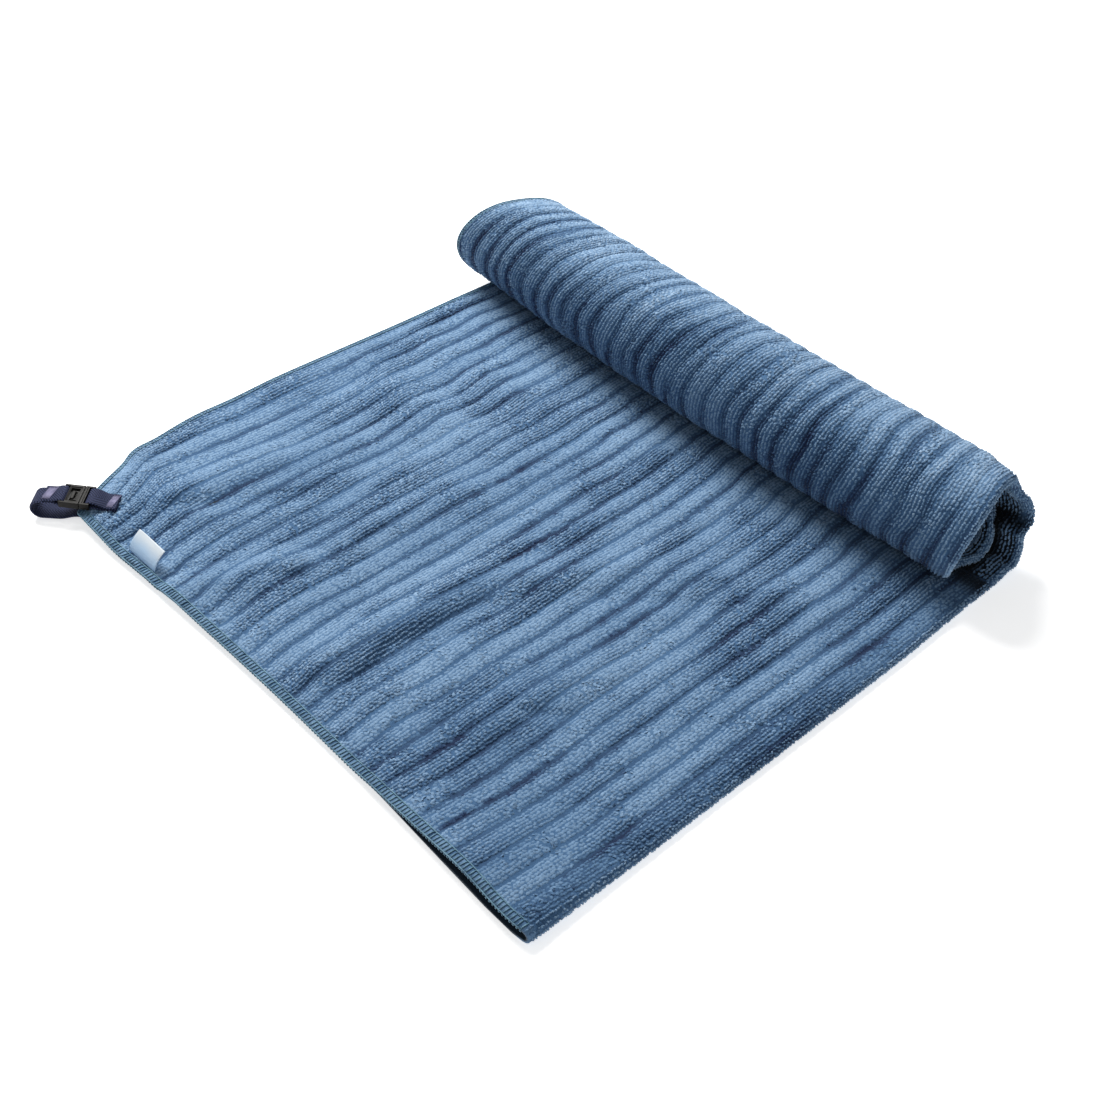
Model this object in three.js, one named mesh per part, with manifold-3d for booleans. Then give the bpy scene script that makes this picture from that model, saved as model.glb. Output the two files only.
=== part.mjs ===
// A rolled travel towel: terry cloth folded once along its length, lying flat,
// with its far part rolled up on top of itself. At one corner a webbing hang
// loop closes with a small snap buckle, and a plain flag label stands at the hem.
//
// Millimetres, +Z up. X runs along the roll, from the two hems (-X) to the fold
// (+X). Y runs from the short hem (-Y) to the roll (+Y). The origin is on the
// underside, in the middle of the folded width and of the whole depth.
import * as THREE from 'three';
import { mergeVertices } from 'three/addons/utils/BufferGeometryUtils.js';
import Module from 'manifold-3d';

const wasm = await Module();
wasm.setup();

// Cloth
const FOLDED_WIDTH = 400;
const CLOTH = 1.9;
const LAYER_GAP = 0.4;
const WOUND_PITCH = 4.7;
const RIB_PITCH = 13.3;
const RIB_RISE = 0.8;
const RIB_PUFF = 0.7;
const HEM_WIDTH = 5;

// Roll
const ROLL_TURNS = 5.5;
const STEPS_PER_TURN = 16;
const FLAT_SPOT_DIP = 0.5;
const OPEN_FLAT_DEPTH = 327;

// Webbing, buckle and label
const WEBBING_WIDTH = 12.5;
const WEBBING = 1.1;
const CLEARANCE = 0.35;
const LOOP_ANCHOR = { x: -180, y: -180.5 };
const LOOP_HEADING = THREE.MathUtils.degToRad(222.9);
const LABEL = { length: 24.6, height: 12.8, thickness: 1.0 };
const LABEL_FOOT = { x: -118.3, y: -179.2, heading: THREE.MathUtils.degToRad(92) };
const LABEL_LEAN = { foot: THREE.MathUtils.degToRad(70), top: THREE.MathUtils.degToRad(47.6) };

// Roll section along the roll's axis: where the axis lies and the outer radius
const ROLL_SECTIONS = [
  { x: -230, axisY: 151.5, radius: 34.2 },
  { x: -190, axisY: 150, radius: 35.2 },
  { x: -120, axisY: 146.5, radius: 36.6 },
  { x: 0, axisY: 143.5, radius: 37.0 },
  { x: 120, axisY: 144.6, radius: 36.7 },
  { x: 200, axisY: 147, radius: 36.3 },
];

// Short hem in plan, from the loop's corner to the fold
const SHORT_HEM = [
  { x: -176, y: -185.5 },
  { x: -150, y: -186 },
  { x: -100, y: -183.5 },
  { x: -50, y: -181.5 },
  { x: 0, y: -180.5 },
  { x: 80, y: -180.5 },
  { x: 150, y: -181.5 },
  { x: 190, y: -182.5 },
  { x: 200, y: -181.5 },
];

// Long hem in plan: its x at each depth behind the short hem
const LONG_HEM = [
  { depth: 0, x: -175 },
  { depth: 20, x: -185.5 },
  { depth: 33, x: -192 },
  { depth: 40, x: -196.5 },
  { depth: 48, x: -202.4 },
  { depth: 67, x: -204.7 },
  { depth: 95, x: -207.5 },
  { depth: 120, x: -206.6 },
  { depth: 158, x: -205.5 },
  { depth: 230, x: -201 },
  { depth: 310, x: -198 },
];

// Inward pull of the fold as it nears the roll
const FOLD_PULL = { depth: 240, pull: 2 };

// Ends of the wound cloth along the roll, by turns from the start of the roll
const ROLL_ENDS = [
  { turn: 0, hem: -198, fold: 198 },
  { turn: 0.125, hem: -191, fold: 197.5 },
  { turn: 0.25, hem: -182, fold: 191 },
  { turn: 0.3125, hem: -177, fold: 187 },
  { turn: 0.375, hem: -175, fold: 187 },
  { turn: 0.4375, hem: -176, fold: 190 },
  { turn: 0.5, hem: -182, fold: 192 },
  { turn: 0.5625, hem: -192, fold: 194.5 },
  { turn: 0.625, hem: -201, fold: 195.5 },
  { turn: 0.75, hem: -213, fold: 192 },
  { turn: 0.8125, hem: -214, fold: 188.5 },
  { turn: 0.875, hem: -213, fold: 184 },
  { turn: 1, hem: -208, fold: 174 },
  { turn: 1.25, hem: -188, fold: 168 },
];
const OUTER_TURNS = 1.25;
const INNER_ENDS = { hem: -188, hemSway: 19, hemDrift: 2, fold: 168, foldDrift: -5 };

// Reach of the hem side's own shift into the cloth
const HEM_SIDE_REACH = 75;

// Sideways sway of the ribs at these x, at each distance from the middle of the flat part
const SWAY_X = [-165, -110, -55, 0, 55, 110, 165];
const RIB_SWAY = [
  { y: -172, sway: [0, 5.8, 4.2, 3.8, 1, -0.2, 2.2] },
  { y: -160, sway: [0, 2, 1.8, 1.1, -0.6, 0.3, 1.7] },
  { y: -147, sway: [-2.4, 0.5, -1.2, 0.2, -1.8, 0.8, 1.2] },
  { y: -132, sway: [-4.2, -1.2, -2, -1.2, -1, 0.5, 1.2] },
  { y: -117, sway: [-3.2, -1.5, -1, -2.5, 0, 0, 1] },
  { y: -100, sway: [-0.6, -1.8, 0.5, -2.2, -0.9, 0.2, 0.4] },
  { y: -85, sway: [1.4, -1.7, 1.2, -2, -1.9, -1.2, 0] },
  { y: -57, sway: [3, -2.2, 0.2, 0, -0.2, -0.8, 0.2] },
  { y: -27, sway: [3.5, 0.5, -0.8, 0.5, 0, 0.2, -0.8] },
  { y: 0, sway: [2.1, 0, 0, 0, 0, 0, 0] },
  { y: 23, sway: [-1.2, -1.5, 0.8, -1, 0, -2.2, 0] },
  { y: 43, sway: [-0.6, -0.2, 0.2, -1.2, -0.2, 0, -0.5] },
  { y: 63, sway: [-3, -3.2, 0.8, -0.8, -0.2, -0.8, 0.2] },
  { y: 83, sway: [-2.3, -1.5, 0.2, -1, -1, -0.8, 0.5] },
  { y: 103, sway: [-3.7, -2.5, -0.8, -2.8, -2.5, -2.5, 0.5] },
  { y: 118, sway: [-2.8, -3.2, -3.5, -6.5, -6, -6.8, -0.8] },
];

// Soft creases of the upper layer, each a ridge along a line in plan
const CREASES = [
  { x1: 8, y1: -150, x2: 14, y2: -60, width: 13, height: 3.2 },
  { x1: 14, y1: -60, x2: 66, y2: 22, width: 13, height: 2.6 },
  { x1: 66, y1: 22, x2: 150, y2: 62, width: 14, height: 2.2 },
  { x1: -84, y1: -172, x2: -62, y2: -118, width: 12, height: 3.0 },
  { x1: -152, y1: -146, x2: -146, y2: -78, width: 12, height: 3.2 },
  { x1: -60, y1: -92, x2: -46, y2: -10, width: 12, height: 2.0 },
  { x1: 92, y1: -118, x2: 104, y2: -52, width: 12, height: 2.2 },
  { x1: -150, y1: 8, x2: -60, y2: 30, width: 14, height: 1.8 },
  { x1: -120, y1: 72, x2: 0, y2: 84, width: 14, height: 1.8 },
];

// Arch of the upper layer over the hollow at the fold's corner
const CORNER_ARCH = { x: 168, y: -184, reachX: 96, reachY: 60, height: 6.2, atFold: 0.55 };

// Set-back of the lower layer's short hem, which runs out before the fold's corner
const LOWER_RECESS = { depth: 2.6, reach: 30, fullTo: 60, noneFrom: 130 };

// Lift of the upper layer over the end of the webbing
const STRAP_LIFT = { plateau: 24, reach: 48, height: 2.4 };

// Depths behind the short hem of the rows across the flat part
const FLAT_ROWS = [0, 5, 12, 20, 33, 48, 67, 87, 107, 127, 147, 167, 187, 207, 228, 250, 270, 288, 303, 316];

const COARSE_COLUMNS = 4;
const INNER_COLUMNS = 14;
const POINTS_PER_RIB = 2;
const FOLD_STEPS = 3;
const LABEL_STEPS = 6;
const QUARTER = Math.PI / 2;
const FOLDED_HALF = CLOTH + LAYER_GAP / 2;
const FLAT_HEIGHT = 2 * CLOTH + LAYER_GAP + RIB_RISE;

// Where relief fades out: towards the roll's axis in mm, and over the roll's outer turn
const LIFT_FADE = { start: 8, end: 52 };
const RIB_FADE = { start: 8, end: 26 };
const TURN_FADE = { rise: 0.03, full: 0.12, fall: 0.86, none: 0.97 };

function smooth(value, low, high) {
  return THREE.MathUtils.smoothstep(value, low, high);
}

// Value of a column of a table at a place between its rows
function lookup(table, key, place, column) {
  if (place <= table[0][key]) return table[0][column];
  for (let i = 1; i < table.length; i += 1) {
    const [low, high] = [table[i - 1], table[i]];
    if (place <= high[key]) {
      const share = (place - low[key]) / (high[key] - low[key]);
      return THREE.MathUtils.lerp(low[column], high[column], share);
    }
  }
  return table[table.length - 1][column];
}

function swayAt(x, y) {
  const across = SWAY_X.map((column, i) => {
    const line = RIB_SWAY.map((row) => ({ y: row.y, sway: row.sway[i] }));
    return { x: column, sway: lookup(line, 'y', y, 'sway') };
  });
  return lookup(across, 'x', x, 'sway');
}

// Height of one crease at a place in plan
function creaseHeight(crease, x, y) {
  const along = new THREE.Vector2(crease.x2 - crease.x1, crease.y2 - crease.y1);
  const offset = new THREE.Vector2(x - crease.x1, y - crease.y1);
  const length = along.length();
  const place = THREE.MathUtils.clamp(offset.dot(along) / length, 0, length);
  const distance = offset.sub(along.setLength(place)).length();
  return crease.height * Math.exp(-((distance / crease.width) ** 2));
}

// How far the upper layer of the flat part stands off the lower one, past the layer gap
function liftAt(x, y, axisY) {
  let lift = 0;
  for (const crease of CREASES) lift = Math.max(lift, creaseHeight(crease, x, y));
  const archX = x > CORNER_ARCH.x
    ? 1 - (1 - CORNER_ARCH.atFold) * smooth(x, CORNER_ARCH.x, FOLDED_WIDTH / 2)
    : 1 - smooth(CORNER_ARCH.x - x, 0, CORNER_ARCH.reachX);
  const archY = 1 - smooth(y - CORNER_ARCH.y, 0, CORNER_ARCH.reachY);
  lift = Math.max(lift, CORNER_ARCH.height * archX * archY);
  const anchor = Math.hypot(x - LOOP_ANCHOR.x, y - LOOP_ANCHOR.y);
  lift = Math.max(lift, STRAP_LIFT.height * (1 - smooth(anchor, STRAP_LIFT.plateau, STRAP_LIFT.reach)));
  return lift * smooth(axisY - y, LIFT_FADE.start, LIFT_FADE.end);
}

// Puffy rib across its pitch: 0 in the groove, 1 on the crest
function ribShape(place) {
  return Math.abs(Math.sin(Math.PI * place)) ** RIB_PUFF;
}

// A row across the cloth: either a depth on the flat part or a turn on the roll
function flatRow(depth) {
  return { depth, turn: null, fine: 'top' };
}

function rollRow(turn) {
  return { depth: OPEN_FLAT_DEPTH, turn, fine: turn > 0 && turn <= 1 ? 'bottom' : 'none' };
}

function hemEnd(row) {
  if (row.turn === null) return lookup(LONG_HEM, 'depth', row.depth, 'x');
  if (row.turn <= OUTER_TURNS) return lookup(ROLL_ENDS, 'turn', row.turn, 'hem');
  const sway = INNER_ENDS.hemSway * Math.cos(2 * Math.PI * row.turn);
  return INNER_ENDS.hem + INNER_ENDS.hemDrift * (row.turn - OUTER_TURNS) - sway;
}

function foldEnd(row) {
  if (row.turn === null) {
    return FOLDED_WIDTH / 2 - FOLD_PULL.pull * smooth(row.depth, FOLD_PULL.depth, OPEN_FLAT_DEPTH);
  }
  if (row.turn <= OUTER_TURNS) return lookup(ROLL_ENDS, 'turn', row.turn, 'fold');
  return INNER_ENDS.fold + INNER_ENDS.foldDrift * (row.turn - OUTER_TURNS);
}

// Layer gap of a row at a place across it
function gapAt(row, x) {
  if (row.turn !== null) return LAYER_GAP;
  const y = depthToY(row.depth, x);
  return LAYER_GAP + liftAt(x, y, lookup(ROLL_SECTIONS, 'x', x, 'axisY'));
}

function depthToY(depth, x) {
  const start = lookup(SHORT_HEM, 'x', x, 'y');
  const end = lookup(ROLL_SECTIONS, 'x', x, 'axisY');
  return start + (end - start) * (depth / OPEN_FLAT_DEPTH);
}

// How far back the lower layer's hem lies from the upper one's
function recessAt(row, x) {
  const near = 1 - smooth(row.depth, 0, LOWER_RECESS.reach);
  return LOWER_RECESS.depth * near * (1 - smooth(x, LOWER_RECESS.fullTo, LOWER_RECESS.noneFrom));
}

// Place in space of a point of the row, off the middle of the folded cloth
function place(row, x, off) {
  if (row.turn === null) {
    const recess = off < 0 ? recessAt(row, x) : 0;
    return new THREE.Vector3(x, depthToY(row.depth, x) + recess, FOLDED_HALF + off);
  }
  const radius = lookup(ROLL_SECTIONS, 'x', x, 'radius');
  const axisY = lookup(ROLL_SECTIONS, 'x', x, 'axisY');
  const reach = radius - FOLDED_HALF - WOUND_PITCH * row.turn;
  const angle = 2 * Math.PI * row.turn - QUARTER;
  const axisZ = radius - FLAT_SPOT_DIP;
  const lowest = FOLDED_HALF + WOUND_PITCH * row.turn;
  const middleZ = Math.max(axisZ + reach * Math.sin(angle), lowest * (Math.sin(angle) < 0 ? 1 : 0));
  const normal = new THREE.Vector2(-Math.cos(angle), -Math.sin(angle));
  return new THREE.Vector3(x, axisY + reach * Math.cos(angle) + off * normal.x, middleZ + off * normal.y);
}

// How much of the rib relief a row carries on its outer face
function ribFade(row, y, axisY) {
  if (row.turn === null) {
    return smooth(row.depth, 0, HEM_WIDTH * 2) * smooth(axisY - y, RIB_FADE.start, RIB_FADE.end);
  }
  const rising = smooth(row.turn, TURN_FADE.rise, TURN_FADE.full);
  return rising * (1 - smooth(row.turn, TURN_FADE.fall, TURN_FADE.none));
}

// x of a place across the cloth, before its ribs sway
function acrossAt(row, share) {
  const [hem, fold] = [hemEnd(row), foldEnd(row) - bendRadius(row)];
  if (row.turn !== null) return THREE.MathUtils.lerp(hem, fold, share);
  const hemShift = (hem + FOLDED_WIDTH / 2) * (1 - smooth(share * FOLDED_WIDTH, 0, HEM_SIDE_REACH));
  return THREE.MathUtils.lerp(-FOLDED_WIDTH / 2, fold, share) + hemShift;
}

// Outer face of a layer: side -1 is the lower layer, +1 the upper one
function outerPoint(row, share, side) {
  const base = acrossAt(row, share);
  const rigidX = THREE.MathUtils.lerp(-FOLDED_WIDTH / 2, FOLDED_WIDTH / 2, share);
  const flat = row.turn === null;
  const y = flat ? depthToY(row.depth, base) : 0;
  const edge = Math.min(share, 1 - share) * FOLDED_WIDTH;
  const sway = flat ? swayAt(rigidX, y) * smooth(edge, 0, 2 * RIB_PITCH) : 0;
  const x = base + sway;
  const axisY = lookup(ROLL_SECTIONS, 'x', x, 'axisY');
  const hemFade = smooth(share * FOLDED_WIDTH, HEM_WIDTH / 2, HEM_WIDTH * 2);
  const carried = (flat ? side > 0 : side < 0) ? ribFade(row, y, axisY) * hemFade : 0;
  const rise = RIB_RISE * carried * ribShape(rigidX / RIB_PITCH);
  const gap = side > 0 || !flat ? gapAt(row, x) : LAYER_GAP;
  const off = side > 0 ? -LAYER_GAP / 2 + gap + CLOTH + rise : -FOLDED_HALF - rise;
  return place(row, x, off);
}

function innerPoint(row, share, side) {
  const x = acrossAt(row, share);
  const off = side > 0 ? -LAYER_GAP / 2 + gapAt(row, x) : -LAYER_GAP / 2;
  return place(row, x, off);
}

// Half height of the folded edge, outside
function bendRadius(row) {
  return CLOTH + gapAt(row, foldEnd(row)) / 2;
}

// Bend at the fold: angle -90 degrees is the lower layer, +90 the upper one
function bendPoint(row, angle, inset) {
  const outside = bendRadius(row);
  const radius = outside - inset;
  const x = foldEnd(row) - outside + radius * Math.cos(angle);
  return place(row, x, outside - FOLDED_HALF + radius * Math.sin(angle));
}

// Closed loop of points round the section of a row. p counts the stretches passed
function sectionLoop(row) {
  const loop = [];
  const columns = (count, point, stretch, towardFold) => {
    for (let i = 0; i < count; i += 1) {
      const share = towardFold ? i / count : 1 - i / count;
      loop.push({ p: stretch + i / count, point: point(share) });
    }
  };
  const bend = (inset, stretch, rising) => {
    for (let i = 0; i < FOLD_STEPS; i += 1) {
      const angle = (rising ? -QUARTER : QUARTER) + (rising ? 1 : -1) * Math.PI * (i / FOLD_STEPS);
      loop.push({ p: stretch + i / FOLD_STEPS, point: bendPoint(row, angle, inset) });
    }
  };
  const fineCount = Math.round(FOLDED_WIDTH / RIB_PITCH) * POINTS_PER_RIB;
  const inner = row.turn === null ? INNER_COLUMNS : COARSE_COLUMNS;
  columns(row.fine === 'bottom' ? fineCount : COARSE_COLUMNS, (s) => outerPoint(row, s, -1), 0, true);
  bend(0, 1, true);
  columns(row.fine === 'top' ? fineCount : COARSE_COLUMNS, (s) => outerPoint(row, s, 1), 2, false);
  loop.push({ p: 3, point: outerPoint(row, 0, 1) });
  columns(inner, (s) => innerPoint(row, s, 1), 4, true);
  bend(CLOTH, 5, false);
  columns(COARSE_COLUMNS, (s) => innerPoint(row, s, -1), 6, false);
  loop.push({ p: 7, point: innerPoint(row, 0, -1) });
  return loop;
}

// Triangles between two lines of points of any counts, ordered by p
function stitch(triangles, low, high, flip) {
  let [i, j] = [0, 0];
  const add = (a, b, c) => triangles.push(...(flip ? [a, c, b] : [a, b, c]));
  while (i < low.length - 1 || j < high.length - 1) {
    const nextLow = i < low.length - 1 ? low[i + 1].p : Infinity;
    const nextHigh = j < high.length - 1 ? high[j + 1].p : Infinity;
    if (nextLow <= nextHigh) {
      add(low[i].index, high[j].index, low[i + 1].index);
      i += 1;
    } else {
      add(low[i].index, high[j].index, high[j + 1].index);
      j += 1;
    }
  }
}

// End of the cloth: joins the outer line of a section to its inner line
function capEnd(triangles, loop, flip) {
  const outer = loop.filter((corner) => corner.p <= 3);
  const inner = loop.filter((corner) => corner.p >= 4 && corner.p <= 7);
  const mirrored = inner.map((corner) => ({ p: 7 - corner.p, index: corner.index })).reverse();
  stitch(triangles, outer, mirrored, flip);
}

function towelGeometry() {
  const turnCount = ROLL_TURNS * STEPS_PER_TURN + 1;
  const turnRows = Array.from({ length: turnCount }, (_, i) => rollRow(i / STEPS_PER_TURN));
  const rows = [...FLAT_ROWS.map(flatRow), ...turnRows];
  const positions = [];
  const triangles = [];
  const loops = rows.map((row) => {
    const loop = sectionLoop(row);
    for (const corner of loop) {
      corner.index = positions.length / 3;
      positions.push(...corner.point.toArray());
    }
    return loop;
  });
  const closed = (loop) => [...loop, { p: 8, index: loop[0].index }];
  for (let i = 1; i < loops.length; i += 1) {
    stitch(triangles, closed(loops[i - 1]), closed(loops[i]), false);
  }
  capEnd(triangles, loops[0], true);
  capEnd(triangles, loops[loops.length - 1], false);
  const geometry = new THREE.BufferGeometry();
  geometry.setAttribute('position', new THREE.Float32BufferAttribute(positions, 3));
  geometry.setIndex(triangles);
  return geometry;
}

// Webbing as a ribbon: a line of (along, z) points with a thickness, across its width
function ribbonGeometry(line, thickness, width) {
  const sides = line.map((point, i) => {
    const before = line[Math.max(i - 1, 0)];
    const after = line[Math.min(i + 1, line.length - 1)];
    const normal = new THREE.Vector2(before.y - after.y, after.x - before.x).setLength(thickness / 2);
    return { left: point.clone().add(normal), right: point.clone().sub(normal) };
  });
  const outline = [...sides.map((side) => side.left), ...sides.map((side) => side.right).reverse()];
  const shape = new THREE.Shape(outline);
  const geometry = new THREE.ExtrudeGeometry(shape, { depth: width, bevelEnabled: false });
  geometry.translate(0, 0, -width / 2);
  geometry.rotateX(QUARTER);
  return geometry;
}

// Points of an arc in the (along, z) plane
function arcPoints(centre, radius, from, to, count) {
  return Array.from({ length: count + 1 }, (_, i) => {
    const angle = THREE.MathUtils.degToRad(THREE.MathUtils.lerp(from, to, i / count));
    return new THREE.Vector2(centre.x + radius * Math.cos(angle), centre.y + radius * Math.sin(angle));
  });
}

// Buckle: sizes in its own frame, with x along the webbing away from the towel
const BUCKLE = { width: 15.5, height: 4, tilt: THREE.MathUtils.degToRad(4), x: 0.6, z: 12 };
const FRAME = { front: 8.8, back: -2.5, slot: 2, wall: 0.8, windowBack: -0.4, windowWidth: 10.4 };
const TONGUE = { front: 3.9, width: 7.6, height: 1.8, block: -5.1, slot: 2 };
const BAR = 1.2;
const PLATE = { corner: 1.4, soft: 0.4, cornerSteps: 4 };
const RAIL = (BUCKLE.width - WEBBING_WIDTH - 2 * CLEARANCE) / 2;
const SLOT_WIDTH = WEBBING_WIDTH + 2 * CLEARANCE;

function solidOf(geometry) {
  geometry.deleteAttribute('normal');
  geometry.deleteAttribute('uv');
  const merged = mergeVertices(geometry, 1e-4);
  return new wasm.Manifold(new wasm.Mesh({
    numProp: 3,
    vertProperties: new Float32Array(merged.attributes.position.array),
    triVerts: new Uint32Array(merged.index.array),
  }));
}

function geometryOf(solid) {
  const mesh = solid.getMesh();
  const geometry = new THREE.BufferGeometry();
  geometry.setAttribute('position', new THREE.BufferAttribute(mesh.vertProperties, 3));
  geometry.setIndex(new THREE.BufferAttribute(mesh.triVerts, 1));
  return geometry;
}

// Block between two places along x, centred across and in height
function block(low, high, width, height) {
  const geometry = new THREE.BoxGeometry(high - low, width, height);
  geometry.translate((low + high) / 2, 0, 0);
  return solidOf(geometry);
}

// Plate with rounded corners in plan and softened edges
function plate(low, high, width, height) {
  const { corner, soft, cornerSteps } = PLATE;
  const [x0, x1, y1] = [low + soft, high - soft, width / 2 - soft];
  const shape = new THREE.Shape();
  shape.absarc(x1 - corner, y1 - corner, corner, 0, QUARTER);
  shape.absarc(x0 + corner, y1 - corner, corner, QUARTER, Math.PI);
  shape.absarc(x0 + corner, -y1 + corner, corner, Math.PI, 3 * QUARTER);
  shape.absarc(x1 - corner, -y1 + corner, corner, 3 * QUARTER, 4 * QUARTER);
  const geometry = new THREE.ExtrudeGeometry(shape, {
    depth: height - 2 * soft,
    bevelThickness: soft,
    bevelSize: soft,
    bevelSegments: 1,
    curveSegments: cornerSteps,
  });
  geometry.translate(0, 0, soft - height / 2);
  return solidOf(geometry);
}

// Female half: a frame with a window over the tongue, and a bar for the webbing
function buckleFrame() {
  const barBack = FRAME.front - BAR;
  const slotBack = barBack - FRAME.slot;
  const windowFront = slotBack - FRAME.wall;
  const tall = BUCKLE.height * 2;
  const body = plate(FRAME.back, FRAME.front, BUCKLE.width, BUCKLE.height);
  const openEnd = block(slotBack, FRAME.front + 1, SLOT_WIDTH, tall);
  const bar = block(barBack, FRAME.front, SLOT_WIDTH + RAIL, BAR);
  const opening = block(FRAME.windowBack, windowFront, FRAME.windowWidth, tall);
  const [channelWidth, channelHeight] = [TONGUE.width + 2 * CLEARANCE, TONGUE.height + 2 * CLEARANCE];
  const channel = block(FRAME.back - 1, windowFront, channelWidth, channelHeight);
  return geometryOf(body.subtract(openEnd).add(bar).subtract(opening).subtract(channel));
}

// Male half: a tongue in the frame's channel, with its own slot and bar
function buckleTongue() {
  const blockFront = FRAME.back - CLEARANCE;
  const slotBack = TONGUE.block - TONGUE.slot;
  const back = slotBack - BAR;
  const body = plate(back, blockFront, BUCKLE.width, BUCKLE.height);
  const openEnd = block(back - 1, TONGUE.block, SLOT_WIDTH, BUCKLE.height * 2);
  const bar = block(back, slotBack, SLOT_WIDTH + RAIL, BAR);
  const tongue = block(blockFront - 1, TONGUE.front, TONGUE.width, TONGUE.height);
  return geometryOf(body.subtract(openEnd).add(bar).add(tongue));
}

// Middle of a bar of the buckle, in the (along, z) plane of the webbing
function barMiddle(x) {
  return new THREE.Vector2(BUCKLE.x + x * Math.cos(BUCKLE.tilt), BUCKLE.z + x * Math.sin(BUCKLE.tilt));
}

// Turn of the webbing round a bar
const BAR_WRAP = BAR * Math.SQRT1_2 + CLEARANCE + WEBBING / 2;
const PLY_PITCH = WEBBING + CLEARANCE;

// Places along the webbing, measured from the corner, and heights of its middle
const LOOP = { root: -9, edge: 1, landing: 12, tip: 21.4, sewnFrom: 14, end: 19.4, height: 11.9 };
const TAB = { end: -22, sewnTo: -17, height: 8.3 };
const TIP_STEPS = 14;
const WRAP_STEPS = 8;
const SLOPE_STEPS = 5;

// Smooth step in height between two places along the webbing
function slope(from, to) {
  return Array.from({ length: SLOPE_STEPS + 1 }, (_, i) => {
    const share = i / SLOPE_STEPS;
    const along = THREE.MathUtils.lerp(from.x, to.x, share);
    return new THREE.Vector2(along, THREE.MathUtils.lerp(from.y, to.y, smooth(share, 0, 1)));
  });
}

// Hang loop: from between the layers down to the surface, round the tip and back to the buckle
function loopLine() {
  const bar = barMiddle(FRAME.front - BAR / 2);
  const floor = WEBBING / 2;
  const inLayers = CLOTH + LAYER_GAP + WEBBING / 2;
  const tipRadius = (LOOP.height - floor) / 2;
  const tip = new THREE.Vector2(LOOP.tip, floor + tipRadius);
  const onBar = new THREE.Vector2(bar.x + BAR, bar.y - BAR_WRAP);
  const offBar = new THREE.Vector2(bar.x + BAR, bar.y + BAR_WRAP);
  return [
    new THREE.Vector2(LOOP.root, inLayers),
    ...slope(new THREE.Vector2(LOOP.edge, inLayers), new THREE.Vector2(LOOP.landing, floor)),
    ...arcPoints(tip, tipRadius, -90, 90, TIP_STEPS),
    ...slope(new THREE.Vector2(LOOP.sewnFrom, LOOP.height), onBar),
    ...arcPoints(bar, BAR_WRAP, -90, -270, WRAP_STEPS),
    ...slope(offBar, new THREE.Vector2(LOOP.sewnFrom, LOOP.height + PLY_PITCH)),
    new THREE.Vector2(LOOP.end, LOOP.height + PLY_PITCH),
  ];
}

// Tab: sewn on the towel, up to the buckle's other bar and back over itself
function tabLine() {
  const bar = barMiddle(TONGUE.block - TONGUE.slot - BAR / 2);
  const onBar = new THREE.Vector2(bar.x - BAR, bar.y - BAR_WRAP);
  const offBar = new THREE.Vector2(bar.x - BAR, bar.y + BAR_WRAP);
  return [
    new THREE.Vector2(TAB.end, TAB.height),
    ...slope(new THREE.Vector2(TAB.sewnTo, TAB.height), onBar),
    ...arcPoints(bar, BAR_WRAP, -90, 90, WRAP_STEPS),
    ...slope(offBar, new THREE.Vector2(TAB.sewnTo, TAB.height + PLY_PITCH)),
    new THREE.Vector2(TAB.end, TAB.height + PLY_PITCH),
  ];
}

// Label: a small stiff flag, sewn down at its foot and standing at a lean
function labelGeometry() {
  const line = Array.from({ length: LABEL_STEPS + 1 }, (_, i) => {
    const share = i / LABEL_STEPS;
    const angle = THREE.MathUtils.lerp(LABEL_LEAN.foot, LABEL_LEAN.top, share);
    const run = LABEL.height * share;
    return new THREE.Vector2(run * Math.cos(angle), run * Math.sin(angle));
  });
  return ribbonGeometry(line, LABEL.thickness, LABEL.length);
}

const materials = {
  terry: new THREE.MeshStandardMaterial({ color: 0x5f86b4, roughness: 0.95, metalness: 0 }),
  webbing: new THREE.MeshStandardMaterial({ color: 0x3c3f5e, roughness: 0.8, metalness: 0 }),
  plastic: new THREE.MeshStandardMaterial({ color: 0x2a2620, roughness: 0.45, metalness: 0 }),
  label: new THREE.MeshStandardMaterial({ color: 0xbcd0e4, roughness: 0.7, metalness: 0 }),
};

function piece(name, geometry, material) {
  const mesh = new THREE.Mesh(geometry, material);
  mesh.name = name;
  return mesh;
}

// Hang loop: its own frame has x along the webbing, away from the corner
const hangLoop = new THREE.Group();
hangLoop.position.set(LOOP_ANCHOR.x, LOOP_ANCHOR.y, 0);
hangLoop.rotation.z = LOOP_HEADING;
hangLoop.add(piece('strap_loop', ribbonGeometry(loopLine(), WEBBING, WEBBING_WIDTH), materials.webbing));
hangLoop.add(piece('strap_tab', ribbonGeometry(tabLine(), WEBBING, WEBBING_WIDTH), materials.webbing));

const buckle = new THREE.Group();
buckle.position.set(BUCKLE.x, 0, BUCKLE.z);
buckle.rotation.y = -BUCKLE.tilt;
buckle.add(piece('buckle_frame', buckleFrame(), materials.plastic));
buckle.add(piece('buckle_tongue', buckleTongue(), materials.plastic));
hangLoop.add(buckle);

// Label: its foot runs along the short hem, just inside it
const label = new THREE.Group();
label.position.set(LABEL_FOOT.x, LABEL_FOOT.y, FLAT_HEIGHT + CLEARANCE / 2);
label.rotation.z = LABEL_FOOT.heading;
label.add(piece('label', labelGeometry(), materials.label));

const rolledTowel = new THREE.Group();
rolledTowel.add(piece('towel', towelGeometry(), materials.terry), hangLoop, label);

export default rolledTowel;
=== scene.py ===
import math

import bmesh
import bpy
import numpy as np
from mathutils import Matrix, Vector


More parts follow.
